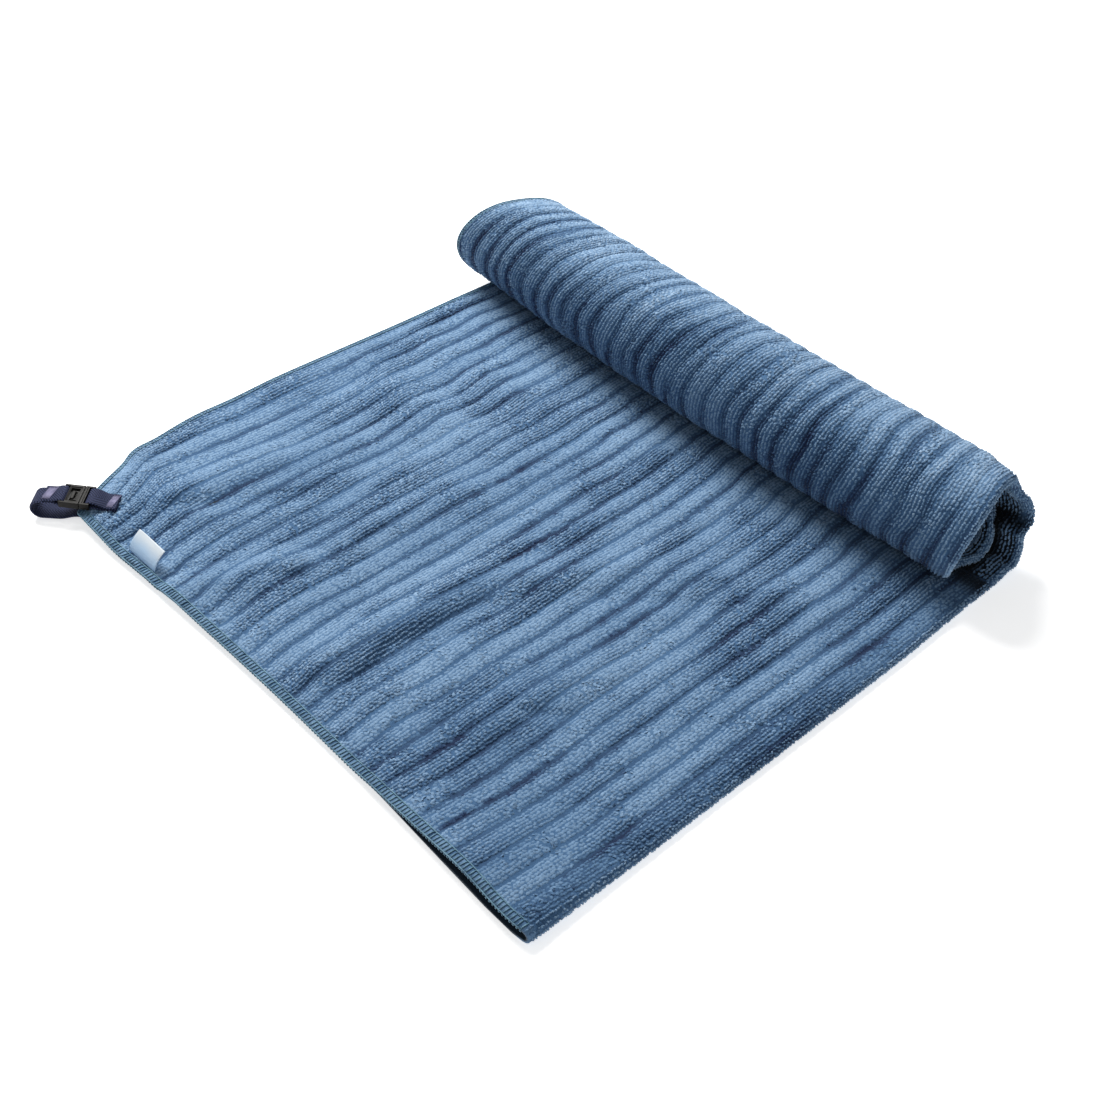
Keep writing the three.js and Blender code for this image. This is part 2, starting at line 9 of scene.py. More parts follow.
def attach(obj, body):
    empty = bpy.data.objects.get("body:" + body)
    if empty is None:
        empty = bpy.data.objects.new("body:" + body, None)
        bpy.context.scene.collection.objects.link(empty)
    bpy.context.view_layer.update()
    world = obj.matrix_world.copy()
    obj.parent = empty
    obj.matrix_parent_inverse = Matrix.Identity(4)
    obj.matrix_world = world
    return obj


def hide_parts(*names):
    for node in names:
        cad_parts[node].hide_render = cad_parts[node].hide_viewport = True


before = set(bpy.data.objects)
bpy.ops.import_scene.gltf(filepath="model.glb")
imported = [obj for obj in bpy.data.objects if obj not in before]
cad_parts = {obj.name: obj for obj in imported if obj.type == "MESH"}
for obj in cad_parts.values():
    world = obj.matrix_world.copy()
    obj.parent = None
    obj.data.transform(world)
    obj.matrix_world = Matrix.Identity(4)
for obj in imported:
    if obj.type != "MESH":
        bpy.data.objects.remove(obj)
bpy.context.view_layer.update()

MM = 0.001
QUARTER = math.pi / 2

# Cloth, as in the model
FOLDED_WIDTH = 400
CLOTH = 1.9
LAYER_GAP = 0.4
WOUND_PITCH = 4.7
RIB_PITCH = 13.3
RIB_SHIFT = 1.5
RIB_PUFF = 0.7
HEM_WIDTH = 5
FOLDED_HALF = CLOTH + LAYER_GAP / 2

# Seeds of the soft random fields
SEED = {
    "flat_lumps": 3, "groove_place": 5, "groove_depth": 6, "groove_edge": 7, "roll_lumps": 8, "rows": 9,
    "nap": 11, "nap_broad": 12, "nap_rows": 13, "tone_rows": 14, "tone_ribs": 15, "groove_reach": 16,
}

# Roll
ROLL_TURNS = 5.5
OUTER_TURNS = 1.25
FLAT_SPOT_DIP = 0.5
OPEN_FLAT_DEPTH = 327
ROLL_RADIUS = 36
PATTERN_RADIUS = 35

# Roll section along its axis
ROLL_SECTIONS = {
    "x": [-230, -190, -120, 0, 120, 200],
    "axis_y": [151.5, 150, 146.5, 143.5, 144.6, 147],
    "radius": [34.2, 35.2, 36.6, 37.0, 36.7, 36.3],
}

# Short hem in plan, from the loop's corner to the fold
SHORT_HEM = {
    "x": [-176, -150, -100, -50, 0, 80, 150, 190, 200],
    "y": [-185.5, -186, -183.5, -181.5, -180.5, -180.5, -181.5, -182.5, -181.5],
}

# Long hem in plan: its x at each depth behind the short hem
LONG_HEM = {
    "depth": [0, 20, 33, 40, 48, 67, 95, 120, 158, 230, 310],
    "x": [-175, -185.5, -192, -196.5, -202.4, -204.7, -207.5, -206.6, -205.5, -201, -198],
}

# Inward pull of the fold as it nears the roll
FOLD_PULL = {"depth": 240, "pull": 2}

# Ends of the wound cloth along the roll, by turns from the start of the roll
ROLL_ENDS = {
    "turn": [0, 0.125, 0.25, 0.3125, 0.375, 0.4375, 0.5, 0.5625, 0.625, 0.75, 0.8125, 0.875, 1, 1.25],
    "hem": [-198, -191, -182, -177, -175, -176, -182, -192, -201, -213, -214, -213, -208, -188],
    "fold": [198, 197.5, 191, 187, 187, 190, 192, 194.5, 195.5, 192, 188.5, 184, 174, 168],
}
INNER_ENDS = {"hem": -188, "hem_sway": 19, "hem_drift": 2, "fold": 168, "fold_drift": -5}

# Reach of the hem side's own shift into the cloth
HEM_SIDE_REACH = 75

# Sideways sway of the ribs at these x, at each distance from the middle of the flat part
RIB_SWAY = {
    "y": [-172, -160, -147, -132, -117, -100, -85, -57, -27, 0, 23, 43, 63, 83, 103, 118],
    -165: [0, 0, -2.4, -4.2, -3.2, -0.6, 1.4, 3, 3.5, 2.1, -1.2, -0.6, -3, -2.3, -3.7, -2.8],
    -110: [5.8, 2, 0.5, -1.2, -1.5, -1.8, -1.7, -2.2, 0.5, 0, -1.5, -0.2, -3.2, -1.5, -2.5, -3.2],
    -55: [4.2, 1.8, -1.2, -2, -1, 0.5, 1.2, 0.2, -0.8, 0, 0.8, 0.2, 0.8, 0.2, -0.8, -3.5],
    0: [3.8, 1.1, 0.2, -1.2, -2.5, -2.2, -2, 0, 0.5, 0, -1, -1.2, -0.8, -1, -2.8, -6.5],
    55: [1, -0.6, -1.8, -1, 0, -0.9, -1.9, -0.2, 0, 0, 0, -0.2, -0.2, -1, -2.5, -6],
    110: [-0.2, 0.3, 0.8, 0.5, 0, 0.2, -1.2, -0.8, 0.2, 0, -2.2, 0, -0.8, -0.8, -2.5, -6.8],
    165: [2.2, 1.7, 1.2, 1.2, 1, 0.4, 0, 0.2, -0.8, 0, 0, -0.5, 0.2, 0.5, 0.5, -0.8],
}
SWAY_X = [column for column in RIB_SWAY if column != "y"]

# Soft creases of the upper layer: x1, y1, x2, y2, width, height
CREASES = [
    (8, -150, 14, -60, 13, 3.2),
    (14, -60, 66, 22, 13, 2.6),
    (66, 22, 150, 62, 14, 2.2),
    (-84, -172, -62, -118, 12, 3.0),
    (-152, -146, -146, -78, 12, 3.2),
    (-60, -92, -46, -10, 12, 2.0),
    (92, -118, 104, -52, 12, 2.2),
    (-150, 8, -60, 30, 14, 1.8),
    (-120, 72, 0, 84, 14, 1.8),
]

# Where the upper layer also stands off the lower one, and where its height and the ribs fade out
CORNER_ARCH = {"x": 168, "y": -184, "reach_x": 96, "reach_y": 60, "height": 6.2, "at_fold": 0.55}
STRAP_LIFT = {"distance": (24, 48), "height": 2.4}
LOWER_RECESS = {"depth": 2.6, "reach": 30, "x": (60, 130)}
LIFT_FADE = (8, 52)
RIB_FADE = (8, 26)
TURN_FADE = {"rise": (0.03, 0.12), "fall": (0.86, 0.97)}

# Narrow wrinkles pressed into the top: x1, y1, x2, y2, width, depth
WRINKLES = [
    (-100, -180, -97, -148, 4, 1.3),
    (-148, -146, -92, -64, 6, 1.6),
    (-68, -140, -50, -120, 5, 1.3),
    (24, -116, 34, -66, 7, 2.4),
    (30, -146, 26, -116, 6, 1.6),
    (101, -98, 118, -82, 4, 1.3),
    (60, -20, 104, 18, 6, 1.2),
]

# Soft painted light and painted shade on the top, where lumps and creases catch and lose the light and where
# light falls off towards the near corner and the folded side: x, y, reach along x, reach along y, tone
PAINTED_LIGHT_PLACES = [
    (22, -92, 10, 30, -0.1),
    (-130, -45, 14, 32, -0.04),
    (-118, -78, 9, 26, -0.05),
    (50, 100, 26, 16, -0.05),
    (132, 108, 24, 16, -0.06),
    (92, 6, 13, 24, -0.05),
    (108, -85, 12, 11, -0.06),
    (-94, -162, 6, 20, -0.08),
    (-8, -164, 5, 12, -0.06),
    (116, 38, 24, 9, -0.05),
    (-60, -98, 18, 14, -0.03),
    (4, -46, 8, 24, 0.08),
    (15, -142, 9, 13, 0.08),
    (-164, -20, 11, 12, 0.06),
    (150, 70, 14, 14, 0.05),
    (45, -140, 9, 26, 0.05),
    (132, -120, 12, 32, 0.05),
    (166, 20, 11, 60, 0.05),
    (150, -140, 80, 55, -0.12),
    (150, 50, 45, 90, -0.06),
    (-60, 84, 90, 20, 0.04),
]

# Outward push of the roll's back wall at its fold side, with a flap that hangs over a dent
KINK = {
    "turn": [0.03, 0.065, 0.092, 0.117, 0.14, 0.155, 0.175, 0.195,
             0.218, 0.24, 0.26, 0.28, 0.31, 0.36, 0.42, 0.5],
    "push": [0, 0, 3.6, 1.3, -1.5, -3.8, -2.6, 3,
             3.5, 1.9, 0, -2.6, -4.2, -4.2, -2, 0],
}
KINK_REACH = (164, 186)

# Ends of the inner turns, which peep out at the fold side
PEEP = {"turn": 0.08, "width": 0.13, "reach": 13, "turns": (0.9, 1.05)}

# Cloth below the pile is drawn in, so that the loops end at the model's surface
GROUND = {"inset": 0.8, "flat_rise": 1.4, "roll_rise": 1.0}
LUMPS = {"flat": 1.4, "roll": 0.5}

# Part of each rib that its rows of loops take up, and how far the grooves and the rows wander
ROWS_SPAN = {"flat": 0.9, "roll": 1.0}
RIB_WANDER = {"flat": 0.9, "roll": 2.4}
ROW_WANDER = 1.8

# Reach and strength of the painted shade in a groove, stronger down the roll's front
GROOVE_SHADE_REACH = {"flat": 2.1, "roll": 3.0}
GROOVE_SHADE_STRENGTH = {"flat": 0.6, "roll_top": 0.45, "roll_front": 0.85}

# Tone of the pile, 0 for dark and 1 for light, and what changes it; its groove part is painted shade in the
# grooves, and its rough part is painted shade on the ground between rough standing loops
TONE = {"base": 0.52, "nap": 0.06, "ribs": 0.06, "rows": 0.04, "groove": 0.5, "hem": 0.25, "rough": 0.06}
# Painted light on the roll's top and painted shade down its front
ROLL_PAINTED_LIGHT = {"change": 0.12, "top": (0.5, 0.68), "front": (0.68, 0.9)}
# Painted shade on the folded side of the flat part, where it bends down away from the light
FOLD_PAINTED_SHADE = {"change": 0.14, "x": (178, 192)}

# Shade where little light comes, as a share of the full tone
FOOT_SHADE = {"flat": 0.9, "depths": (307, 321), "roll": 0.7, "turns": (0.9, 1.0)}
LOWER_EDGE_SHADE = {"strength": 0.95, "x": (30, 75), "depths": (6, 16)}

# How far in light falls at the ends of the roll: at its foot, its back, its top and its hem side
END_LIGHT = {"foot": 7, "back": 20, "top": 5, "fade": 6, "hem": (9, 24), "least": 0.02}
# Painted shadow along the crease under the flap inside the roll's fold end
END_CREASE_SHADOW = {"turn": 0.19, "width": 0.02, "strength": 0.8}
# Painted shade on the inner faces between the two layers
BETWEEN_LAYERS_SHADE = 0.1

# Webbing, buckle and label
WEBBING_WIDTH = 12.5
WEBBING = 1.1
CLEARANCE = 0.35
LOOP_ANCHOR = (-180, -180.5)
LOOP_HEADING = math.radians(222.9)
BUCKLE = {"width": 15.5, "height": 4, "tilt": math.radians(4), "x": 0.6, "z": 12}
FRAME = {"front": 8.8, "back": -2.5, "slot": 2, "wall": 0.8, "window_back": -0.4, "window_width": 10.4}
TONGUE = {"front": 3.9, "width": 7.6, "height": 1.8, "block": -5.1, "slot": 2}
BAR = 1.2
BAR_WRAP = BAR * math.sqrt(0.5) + CLEARANCE + WEBBING / 2
PLY_PITCH = WEBBING + CLEARANCE
LOOP = {"root": -9, "edge": 1, "landing": 12, "tip": 21.4, "sewn_from": 14, "end": 19.4, "height": 11.9}
TAB = {"end": -22, "sewn_to": -17, "height": 8.3}
LABEL = {"length": 24.6, "height": 12.8, "thickness": 0.45}
LABEL_FOOT = {"x": -118.3, "y": -179.2, "z": 5.6, "heading": math.radians(92)}
LABEL_LEAN = {"foot": math.radians(70), "top": math.radians(47.6)}

# Pile: rows of loops along the ribs
ROWS_PER_RIB = 6
LOOP_STEP = 1.4
LOOP_SIZE = {"length": 2.3, "width": 1.6, "height": 1.2}
LOOP_SLANT = 0.15
LOOP_SINK = 0.15
PILE_SEED = {"flat": 21, "roll": 31, "fold": 41, "inside": 51}

# Size of a loop along, across and up where the nap is rough and where it lies smooth, in usual sizes
NAP_SIZE = {"rough": np.array([1, 0.92, 1.1]), "smooth": np.array([1.25, 1.42, 0.45])}

# Spread of the loops' lean, slant, place, size and tone, and how much more of it tousled places have
UNEVEN = {"lean": 0.16, "slant": 0.22, "place": 0.2, "size": 0.18, "tone": 0.06, "tousled": 1.3}

# Painted shade at a loop's foot and painted light on its back, how much less this and the loops' own tone
# vary in smooth nap, and the few loops darkened by painted shade
LOOP_LIGHT_AND_SHADE = {"foot": -0.19, "rise": 0.42, "calm": 0.75, "dark": 0.2, "dark_share": 0.025}

# Overlock thread: its reach inside the short hem and the long one, and its seeds
THREAD = {"radius": 0.36, "sides": 5, "pitch": 2.2, "short_reach": 4.4, "long_reach": 2.0}
THREAD_SEED = {"short_hem": 61, "long_hem": 65, "rim": 69}

# A direction that no thread runs in
OFF_THREAD = np.array([0.31, 0.17, 0.93])

# Zigzag sewing of the webbing
TACK = {"inset": 1.0, "pitch": 0.55, "slant": 1.2, "rise": 0.12, "radius": 0.24, "sides": 4, "steps": 6}

# Resolution of the cloth
RIB_POINTS = 6
FLAT_STEP = 3
OUTER_STEPS = 80
INNER_STEPS = 40
COARSE_COLUMNS = 12
INNER_COLUMNS = 24
BEND_STEPS = 6


def smooth(value, low, high):
    """Soft step from 0 at low to 1 at high."""
    share = np.clip((value - low) / (high - low), 0, 1)
    return share * share * (3 - 2 * share)


def lookup(table, key, place, column):
    """Smooth curve through a column of a table, at places along its key column."""
    at = np.array(table[key], float)
    values = np.array(table[column], float)
    slopes = np.gradient(values, at)
    place = np.clip(place, at[0], at[-1])
    i = np.clip(np.searchsorted(at, place) - 1, 0, len(at) - 2)
    step = at[i + 1] - at[i]
    s = (place - at[i]) / step
    start = values[i] * (1 + 2 * s) * (1 - s) ** 2 + slopes[i] * step * s * (1 - s) ** 2
    end = values[i + 1] * s * s * (3 - 2 * s) - slopes[i + 1] * step * s * s * (1 - s)
    return start + end


def matched(*values):
    """The values as arrays of one shape."""
    return np.broadcast_arrays(*(np.asarray(value, float) for value in values))


def soft_noise(seed, a, b):
    """Smooth random field from -1 to 1, with features one unit across in a and b."""
    cells = 64
    table = np.random.default_rng(seed).uniform(-1, 1, (cells, cells))
    a, b = matched(a, b)
    i, j = np.floor(a).astype(int), np.floor(b).astype(int)
    s, t = smooth(a - i, 0, 1), smooth(b - j, 0, 1)
    low = table[i % cells, j % cells] * (1 - s) + table[(i + 1) % cells, j % cells] * s
    high = table[i % cells, (j + 1) % cells] * (1 - s) + table[(i + 1) % cells, (j + 1) % cells] * s
    return low * (1 - t) + high * t


def sway_at(x, y):
    """Sideways sway of the ribs of the flat part."""
    columns = np.array([lookup(RIB_SWAY, "y", y, column) for column in SWAY_X])
    place = np.interp(x, SWAY_X, range(len(SWAY_X)))
    i = np.clip(place.astype(int), 0, len(SWAY_X) - 2)
    share = place - i
    low = np.take_along_axis(columns, i[None], 0)[0]
    high = np.take_along_axis(columns, i[None] + 1, 0)[0]
    return low * (1 - share) + high * share


def crease_height(crease, x, y):
    """Height of a soft ridge along a line, or depth of a trough."""
    x1, y1, x2, y2, width, height = crease
    length = math.hypot(x2 - x1, y2 - y1)
    along_x, along_y = (x2 - x1) / length, (y2 - y1) / length
    along = np.clip((x - x1) * along_x + (y - y1) * along_y, 0, length)
    distance = np.hypot(x - x1 - along * along_x, y - y1 - along * along_y)
    return height * np.exp(-((distance / width) ** 2))


def lift_at(x, y, axis_y):
    """How far the upper layer of the flat part stands off the lower one, past the layer gap."""
    lift = np.zeros_like(x)
    for crease in CREASES:
        lift = np.maximum(lift, crease_height(crease, x, y))
    beyond = 1 - (1 - CORNER_ARCH["at_fold"]) * smooth(x, CORNER_ARCH["x"], FOLDED_WIDTH / 2)
    before = 1 - smooth(CORNER_ARCH["x"] - x, 0, CORNER_ARCH["reach_x"])
    arch = np.where(x > CORNER_ARCH["x"], beyond, before)
    arch = arch * (1 - smooth(y - CORNER_ARCH["y"], 0, CORNER_ARCH["reach_y"]))
    lift = np.maximum(lift, CORNER_ARCH["height"] * arch)
    anchor = np.hypot(x - LOOP_ANCHOR[0], y - LOOP_ANCHOR[1])
    strap = 1 - smooth(anchor, *STRAP_LIFT["distance"])
    lift = np.maximum(lift, STRAP_LIFT["height"] * strap)
    lumps = 0.5 + 0.5 * soft_noise(SEED["flat_lumps"], x / 22 + 40, y / 34 + 40)
    lift = lift + LUMPS["flat"] * lumps
    wrinkles = sum(crease_height(wrinkle, x, y) for wrinkle in WRINKLES)
    return np.maximum(lift - wrinkles, 0) * smooth(axis_y - y, *LIFT_FADE)


def axis_at(x):
    """y of the roll's axis."""
    return lookup(ROLL_SECTIONS, "x", x, "axis_y")


def flat_y(depth, x):
    """y of a place on the flat part."""
    start = lookup(SHORT_HEM, "x", x, "y")
    return start + (axis_at(x) - start) * depth / OPEN_FLAT_DEPTH


def hem_end(depth, turn):
    """x of the cloth's hem side. A turn below 0 stands for the flat part."""
    flat = lookup(LONG_HEM, "depth", depth, "x")
    outer = lookup(ROLL_ENDS, "turn", turn, "hem")
    inner = INNER_ENDS["hem"] + INNER_ENDS["hem_drift"] * (turn - OUTER_TURNS)
    inner = inner - INNER_ENDS["hem_sway"] * np.cos(2 * math.pi * turn)
    return np.where(turn < 0, flat, np.where(turn <= OUTER_TURNS, outer, inner))


def fold_end(depth, turn):
    """x of the cloth's folded side."""
    flat = FOLDED_WIDTH / 2 - FOLD_PULL["pull"] * smooth(depth, FOLD_PULL["depth"], OPEN_FLAT_DEPTH)
    outer = lookup(ROLL_ENDS, "turn", turn, "fold")
    inner = INNER_ENDS["fold"] + INNER_ENDS["fold_drift"] * (turn - OUTER_TURNS)
    from_foot = (turn - PEEP["turn"] + 0.5) % 1 - 0.5
    peep = PEEP["reach"] * np.exp(-((from_foot / PEEP["width"]) ** 2)) * smooth(turn, *PEEP["turns"])
    return np.where(turn < 0, flat, np.where(turn <= OUTER_TURNS, outer, inner) + peep)


def gap_at(depth, turn, x):
    """Gap between the two layers."""
    lift = lift_at(x, flat_y(depth, x), axis_at(x))
    return LAYER_GAP + np.where(turn < 0, lift, 0)


def kink_at(x, turn):
    """Outward push of the roll's back wall at its fold side."""
    return lookup(KINK, "turn", turn, "push") * smooth(x, *KINK_REACH)


def place(depth, turn, x, off):
    """Points of the cloth, off the middle of its two layers."""
    near = 1 - smooth(depth, 0, LOWER_RECESS["reach"])
    recess = LOWER_RECESS["depth"] * near * (1 - smooth(x, *LOWER_RECESS["x"]))
    y_flat = flat_y(depth, x) + np.where(off < 0, recess, 0)
    wound = FOLDED_HALF + WOUND_PITCH * turn
    radius = lookup(ROLL_SECTIONS, "x", x, "radius")
    reach = radius - wound + kink_at(x, turn)
    angle = 2 * math.pi * turn - QUARTER
    lowest = np.where(np.sin(angle) < 0, wound, 0)
    middle_z = np.maximum(radius - FLAT_SPOT_DIP + reach * np.sin(angle), lowest)
    y_roll = axis_at(x) + (reach - off) * np.cos(angle)
    z_roll = middle_z - off * np.sin(angle)
    y = np.where(turn < 0, y_flat, y_roll)
    z = np.where(turn < 0, FOLDED_HALF + off, z_roll)
    return np.stack([x, y, z], -1)


def rib_place(share, v):
    """Place of a point across the ribs, in rib pitches, with each groove a little uneven."""
    across = (share - 0.5) * FOLDED_WIDTH - RIB_SHIFT
    wander = np.where(v < OPEN_FLAT_DEPTH, RIB_WANDER["flat"], RIB_WANDER["roll"])
    return (across + wander * soft_noise(SEED["groove_place"], across / 14, v / 40)) / RIB_PITCH


def groove_shade_at(share, v):
    """Painted shade of a groove: 1 in its middle, falling to 0 within a few millimetres, and stronger in some
    places.
    """
    rib = rib_place(share, v) + 0.07 * soft_noise(SEED["groove_edge"], share * FOLDED_WIDTH / 2.5, v / 5)
    own_line = np.round(rib) * 0.71
    distance = np.abs(rib - np.round(rib)) * RIB_PITCH
    flat = v < OPEN_FLAT_DEPTH
    reach = np.where(flat, GROOVE_SHADE_REACH["flat"], GROOVE_SHADE_REACH["roll"])
    reach = reach * (1 + 0.4 * soft_noise(SEED["groove_reach"], own_line, v / 30))
    top, front = GROOVE_SHADE_STRENGTH["roll_top"], GROOVE_SHADE_STRENGTH["roll_front"]
    down_front = smooth(v, length_at(0, 0.5), length_at(0, 0.75))
    strength = np.where(flat, GROOVE_SHADE_STRENGTH["flat"], top + (front - top) * down_front)
    strength = np.clip(strength + 0.6 * soft_noise(SEED["groove_depth"], own_line, v / 40), 0.05, 1.2)
    return strength * np.exp(-((distance / reach) ** 2))


def rib_shape(share, v):
    """0 in a groove and 1 on a crest, with some grooves shallower than others."""
    rib = rib_place(share, v)
    depth = 0.85 + 0.25 * soft_noise(SEED["groove_depth"], rib / 1.1, v / 55)
    return 1 - depth * (1 - np.abs(np.sin(math.pi * rib)) ** RIB_PUFF)


def length_at(depth, turn):
    """Distance along the cloth from its short hem, for patterns that run on from flat to roll."""
    wound = 2 * math.pi * PATTERN_RADIUS * np.maximum(turn, 0)
    return np.where(turn < 0, depth, OPEN_FLAT_DEPTH + wound)


def bend_radius(depth, turn):
    """Radius of the fold's outside."""
    return CLOTH + gap_at(depth, turn, fold_end(depth, turn)) / 2


def across_at(depth, turn, share):
    """x of a place across the cloth, before the ribs sway."""
    hem = hem_end(depth, turn)
    fold = fold_end(depth, turn) - bend_radius(depth, turn)
    half = FOLDED_WIDTH / 2
    hem_shift = (hem + half) * (1 - smooth(share * FOLDED_WIDTH, 0, HEM_SIDE_REACH))
    flat = (fold + half) * share - half + hem_shift
    return np.where(turn < 0, flat, hem + (fold - hem) * share)


def outer_point(depth, turn, share, side):
    """Outer face of a layer: side -1 is the lower layer, which is outermost on the roll."""
    depth, turn, share = matched(depth, turn, share)
    base = across_at(depth, turn, share)
    y = flat_y(depth, base)
    edge = np.minimum(share, 1 - share) * FOLDED_WIDTH
    flat = turn < 0
    straight = (share - 0.5) * FOLDED_WIDTH
    v = length_at(depth, turn)
    wander = ROW_WANDER * soft_noise(SEED["rows"], straight / 24 + 30, v / 20)
    x = base + np.where(flat, sway_at(straight, y), wander) * smooth(edge, 0, 2 * RIB_PITCH)
    axis_y = axis_at(x)
    flat_fade = smooth(depth, 0, HEM_WIDTH * 2) * smooth(axis_y - y, *RIB_FADE)
    turn_fade = smooth(turn, *TURN_FADE["rise"]) * (1 - smooth(turn, *TURN_FADE["fall"]))
    fade = np.where(flat, flat_fade * (side > 0), turn_fade * (side < 0))
    fade = fade * smooth(share * FOLDED_WIDTH, HEM_WIDTH / 2, HEM_WIDTH * 2)
    lumps = soft_noise(SEED["roll_lumps"], x / 30 + 20, v / 26)
    relief = np.where(flat, GROUND["flat_rise"], GROUND["roll_rise"]) * rib_shape(share, v)
    rise = fade * (relief - GROUND["inset"] + np.where(flat, 0, LUMPS["roll"] * lumps))
    gap = gap_at(depth, turn, x) if side > 0 else LAYER_GAP
    off = -LAYER_GAP / 2 + gap + CLOTH + rise if side > 0 else -FOLDED_HALF - rise
    return place(depth, turn, x, off)


def inner_point(depth, turn, share, side):
    """Inner face of a layer, towards the other layer."""
    depth, turn, share = matched(depth, turn, share)
    x = across_at(depth, turn, share)
    off = -LAYER_GAP / 2 + (gap_at(depth, turn, x) if side > 0 else 0)
    return place(depth, turn, x, off)


def bend_point(depth, turn, angle, inset):
    """Bend at the fold: angle -90 degrees is the lower layer and +90 the upper one."""
    depth, turn, angle = matched(depth, turn, angle)
    outside = bend_radius(depth, turn)
    radius = outside - inset
    x = fold_end(depth, turn) - outside + radius * np.cos(angle)
    return place(depth, turn, x, outside - FOLDED_HALF + radius * np.sin(angle))


def spread(count, eased):
    """Places from 0 up to 1, evenly spaced or drawn together at both ends."""
    if eased:
        return (1 - np.cos(math.pi * np.arange(count) / count)) / 2
    return np.arange(count) / count


def section_loop(depth, turn):
    """Closed loop of points round a section of the cloth. The first number counts the stretches passed."""
    fine = int(FOLDED_WIDTH / RIB_PITCH * RIB_POINTS)
    low_count = fine if 0 <= turn <= 1 else COARSE_COLUMNS
    high_count = fine if turn < 0 else INNER_COLUMNS
    low = spread(low_count, low_count < fine)
    high = spread(high_count, high_count < fine)
    inner = spread(INNER_COLUMNS, True)
    bend = np.arange(BEND_STEPS) / BEND_STEPS
    parts = [
        (np.arange(low_count) / low_count, outer_point(depth, turn, low, -1)),
        (1 + bend, bend_point(depth, turn, -QUARTER + math.pi * bend, 0)),
        (2 + np.arange(high_count) / high_count, outer_point(depth, turn, 1 - high, 1)),
        (np.array([3.0]), outer_point(depth, turn, np.zeros(1), 1)),
        (4 + np.arange(INNER_COLUMNS) / INNER_COLUMNS, inner_point(depth, turn, inner, 1)),
        (5 + bend, bend_point(depth, turn, QUARTER - math.pi * bend, CLOTH)),
        (6 + np.arange(INNER_COLUMNS) / INNER_COLUMNS, inner_point(depth, turn, 1 - inner, -1)),
        (np.array([7.0]), inner_point(depth, turn, np.zeros(1), -1)),
    ]
    return np.concatenate([p for p, _ in parts]), np.concatenate([points for _, points in parts])


def stitch(faces, low, high, flip):
    """Triangles between two lines of (p, index) pairs of any counts, ordered by p."""
    i, j = 0, 0
    while i < len(low) - 1 or j < len(high) - 1:
        next_low = low[i + 1][0] if i < len(low) - 1 else math.inf
        next_high = high[j + 1][0] if j < len(high) - 1 else math.inf
        if next_low <= next_high:
            a, b, c = low[i][1], high[j][1], low[i + 1][1]
            i += 1
        else:
            a, b, c = low[i][1], high[j][1], high[j + 1][1]
            j += 1
        faces.append((a, c, b) if flip else (a, b, c))


def cap_end(faces, loop, flip):
    """Cut end of the cloth: joins the outer line of a section to its inner line."""
    outer = [corner for corner in loop if corner[0] <= 3]
    inner = [(7 - p, index) for p, index in reversed(loop) if 4 <= p <= 7]
    stitch(faces, outer, inner, flip)


def add_object(name, data):
    """Object for a mesh, a camera or a light, put in the scene."""
    thing = bpy.data.objects.new(name, data)
    bpy.context.scene.collection.objects.link(thing)
    return thing


def add_mesh(name, points, faces, material, attributes=None):
    """Mesh object in metres from points in millimetres, shaded smooth."""
    mesh = bpy.data.meshes.new(name)
    mesh.from_pydata((points * MM).tolist(), [], faces)
    for key, values in (attributes or {}).items():
        kind, field = ("FLOAT", "value") if values.ndim == 1 else ("FLOAT_VECTOR", "vector")
        attribute = mesh.attributes.new(key, kind, "POINT")
        attribute.data.foreach_set(field, values.astype(np.float32).ravel())
    mesh.shade_smooth()
    mesh.materials.append(material)
    return add_object(name, mesh)


def nap_at(share, v):
    """1 where the pile lies smooth and light, 0 where it stands up in rough rows."""
    rib = np.floor(rib_place(share, v))
    across = share * FOLDED_WIDTH
    patches = 0.8 * soft_noise(SEED["nap"], rib * 0.73, v / 38)
    patches = patches + 0.25 * soft_noise(SEED["nap_broad"], across / 34, v / 40)
    return smooth(patches + 0.35 * soft_noise(SEED["nap_rows"], across / 6, v / 18) + 0.25, -0.6, 0.7)


def tone_at(share, v):
    """Lightness of the pile: light where the nap lies smooth, darker in rough rows, with painted shade in the
    grooves.
    """
    rib = np.floor(rib_place(share, v))
    ribs = soft_noise(SEED["tone_ribs"], rib * 0.9, v / 90)
    rows = soft_noise(SEED["tone_rows"], share * FOLDED_WIDTH / 3.2, v / 30)
    light = TONE["base"] + TONE["nap"] * nap_at(share, v) + TONE["ribs"] * ribs + TONE["rows"] * rows
    return light - TONE["groove"] * groove_shade_at(share, v)


def roll_tone_with_painted_light(turn, share):
    """Tone of the outside of the roll: painted light on its top and painted shade down its front."""
    tone = tone_at(share, length_at(OPEN_FLAT_DEPTH, turn))
    top = 1 - smooth(turn, *ROLL_PAINTED_LIGHT["top"])
    front = smooth(turn, *ROLL_PAINTED_LIGHT["front"])
    return tone + ROLL_PAINTED_LIGHT["change"] * (top - front)


def top_tone(depth, share):
    """Tone of the top of the flat part, with its places of painted light and shade and painted shade on its
    folded side.
    """
    x = across_at(depth, -np.ones_like(share), share)
    y = flat_y(depth, x)
    tone = tone_at(share, depth) - FOLD_PAINTED_SHADE["change"] * smooth(x, *FOLD_PAINTED_SHADE["x"])
    for place_x, place_y, reach_x, reach_y, change in PAINTED_LIGHT_PLACES:
        tone = tone + change * np.exp(-(((x - place_x) / reach_x) ** 2) - ((y - place_y) / reach_y) ** 2)
    return tone


def foot_shade(depth, turn):
    """Darkness where the roll lies on the flat part."""
    flat = 1 - FOOT_SHADE["flat"] * smooth(depth, *FOOT_SHADE["depths"])
    roll = 1 - FOOT_SHADE["roll"] * smooth(turn, *FOOT_SHADE["turns"])
    return np.where(turn < 0, flat, roll)


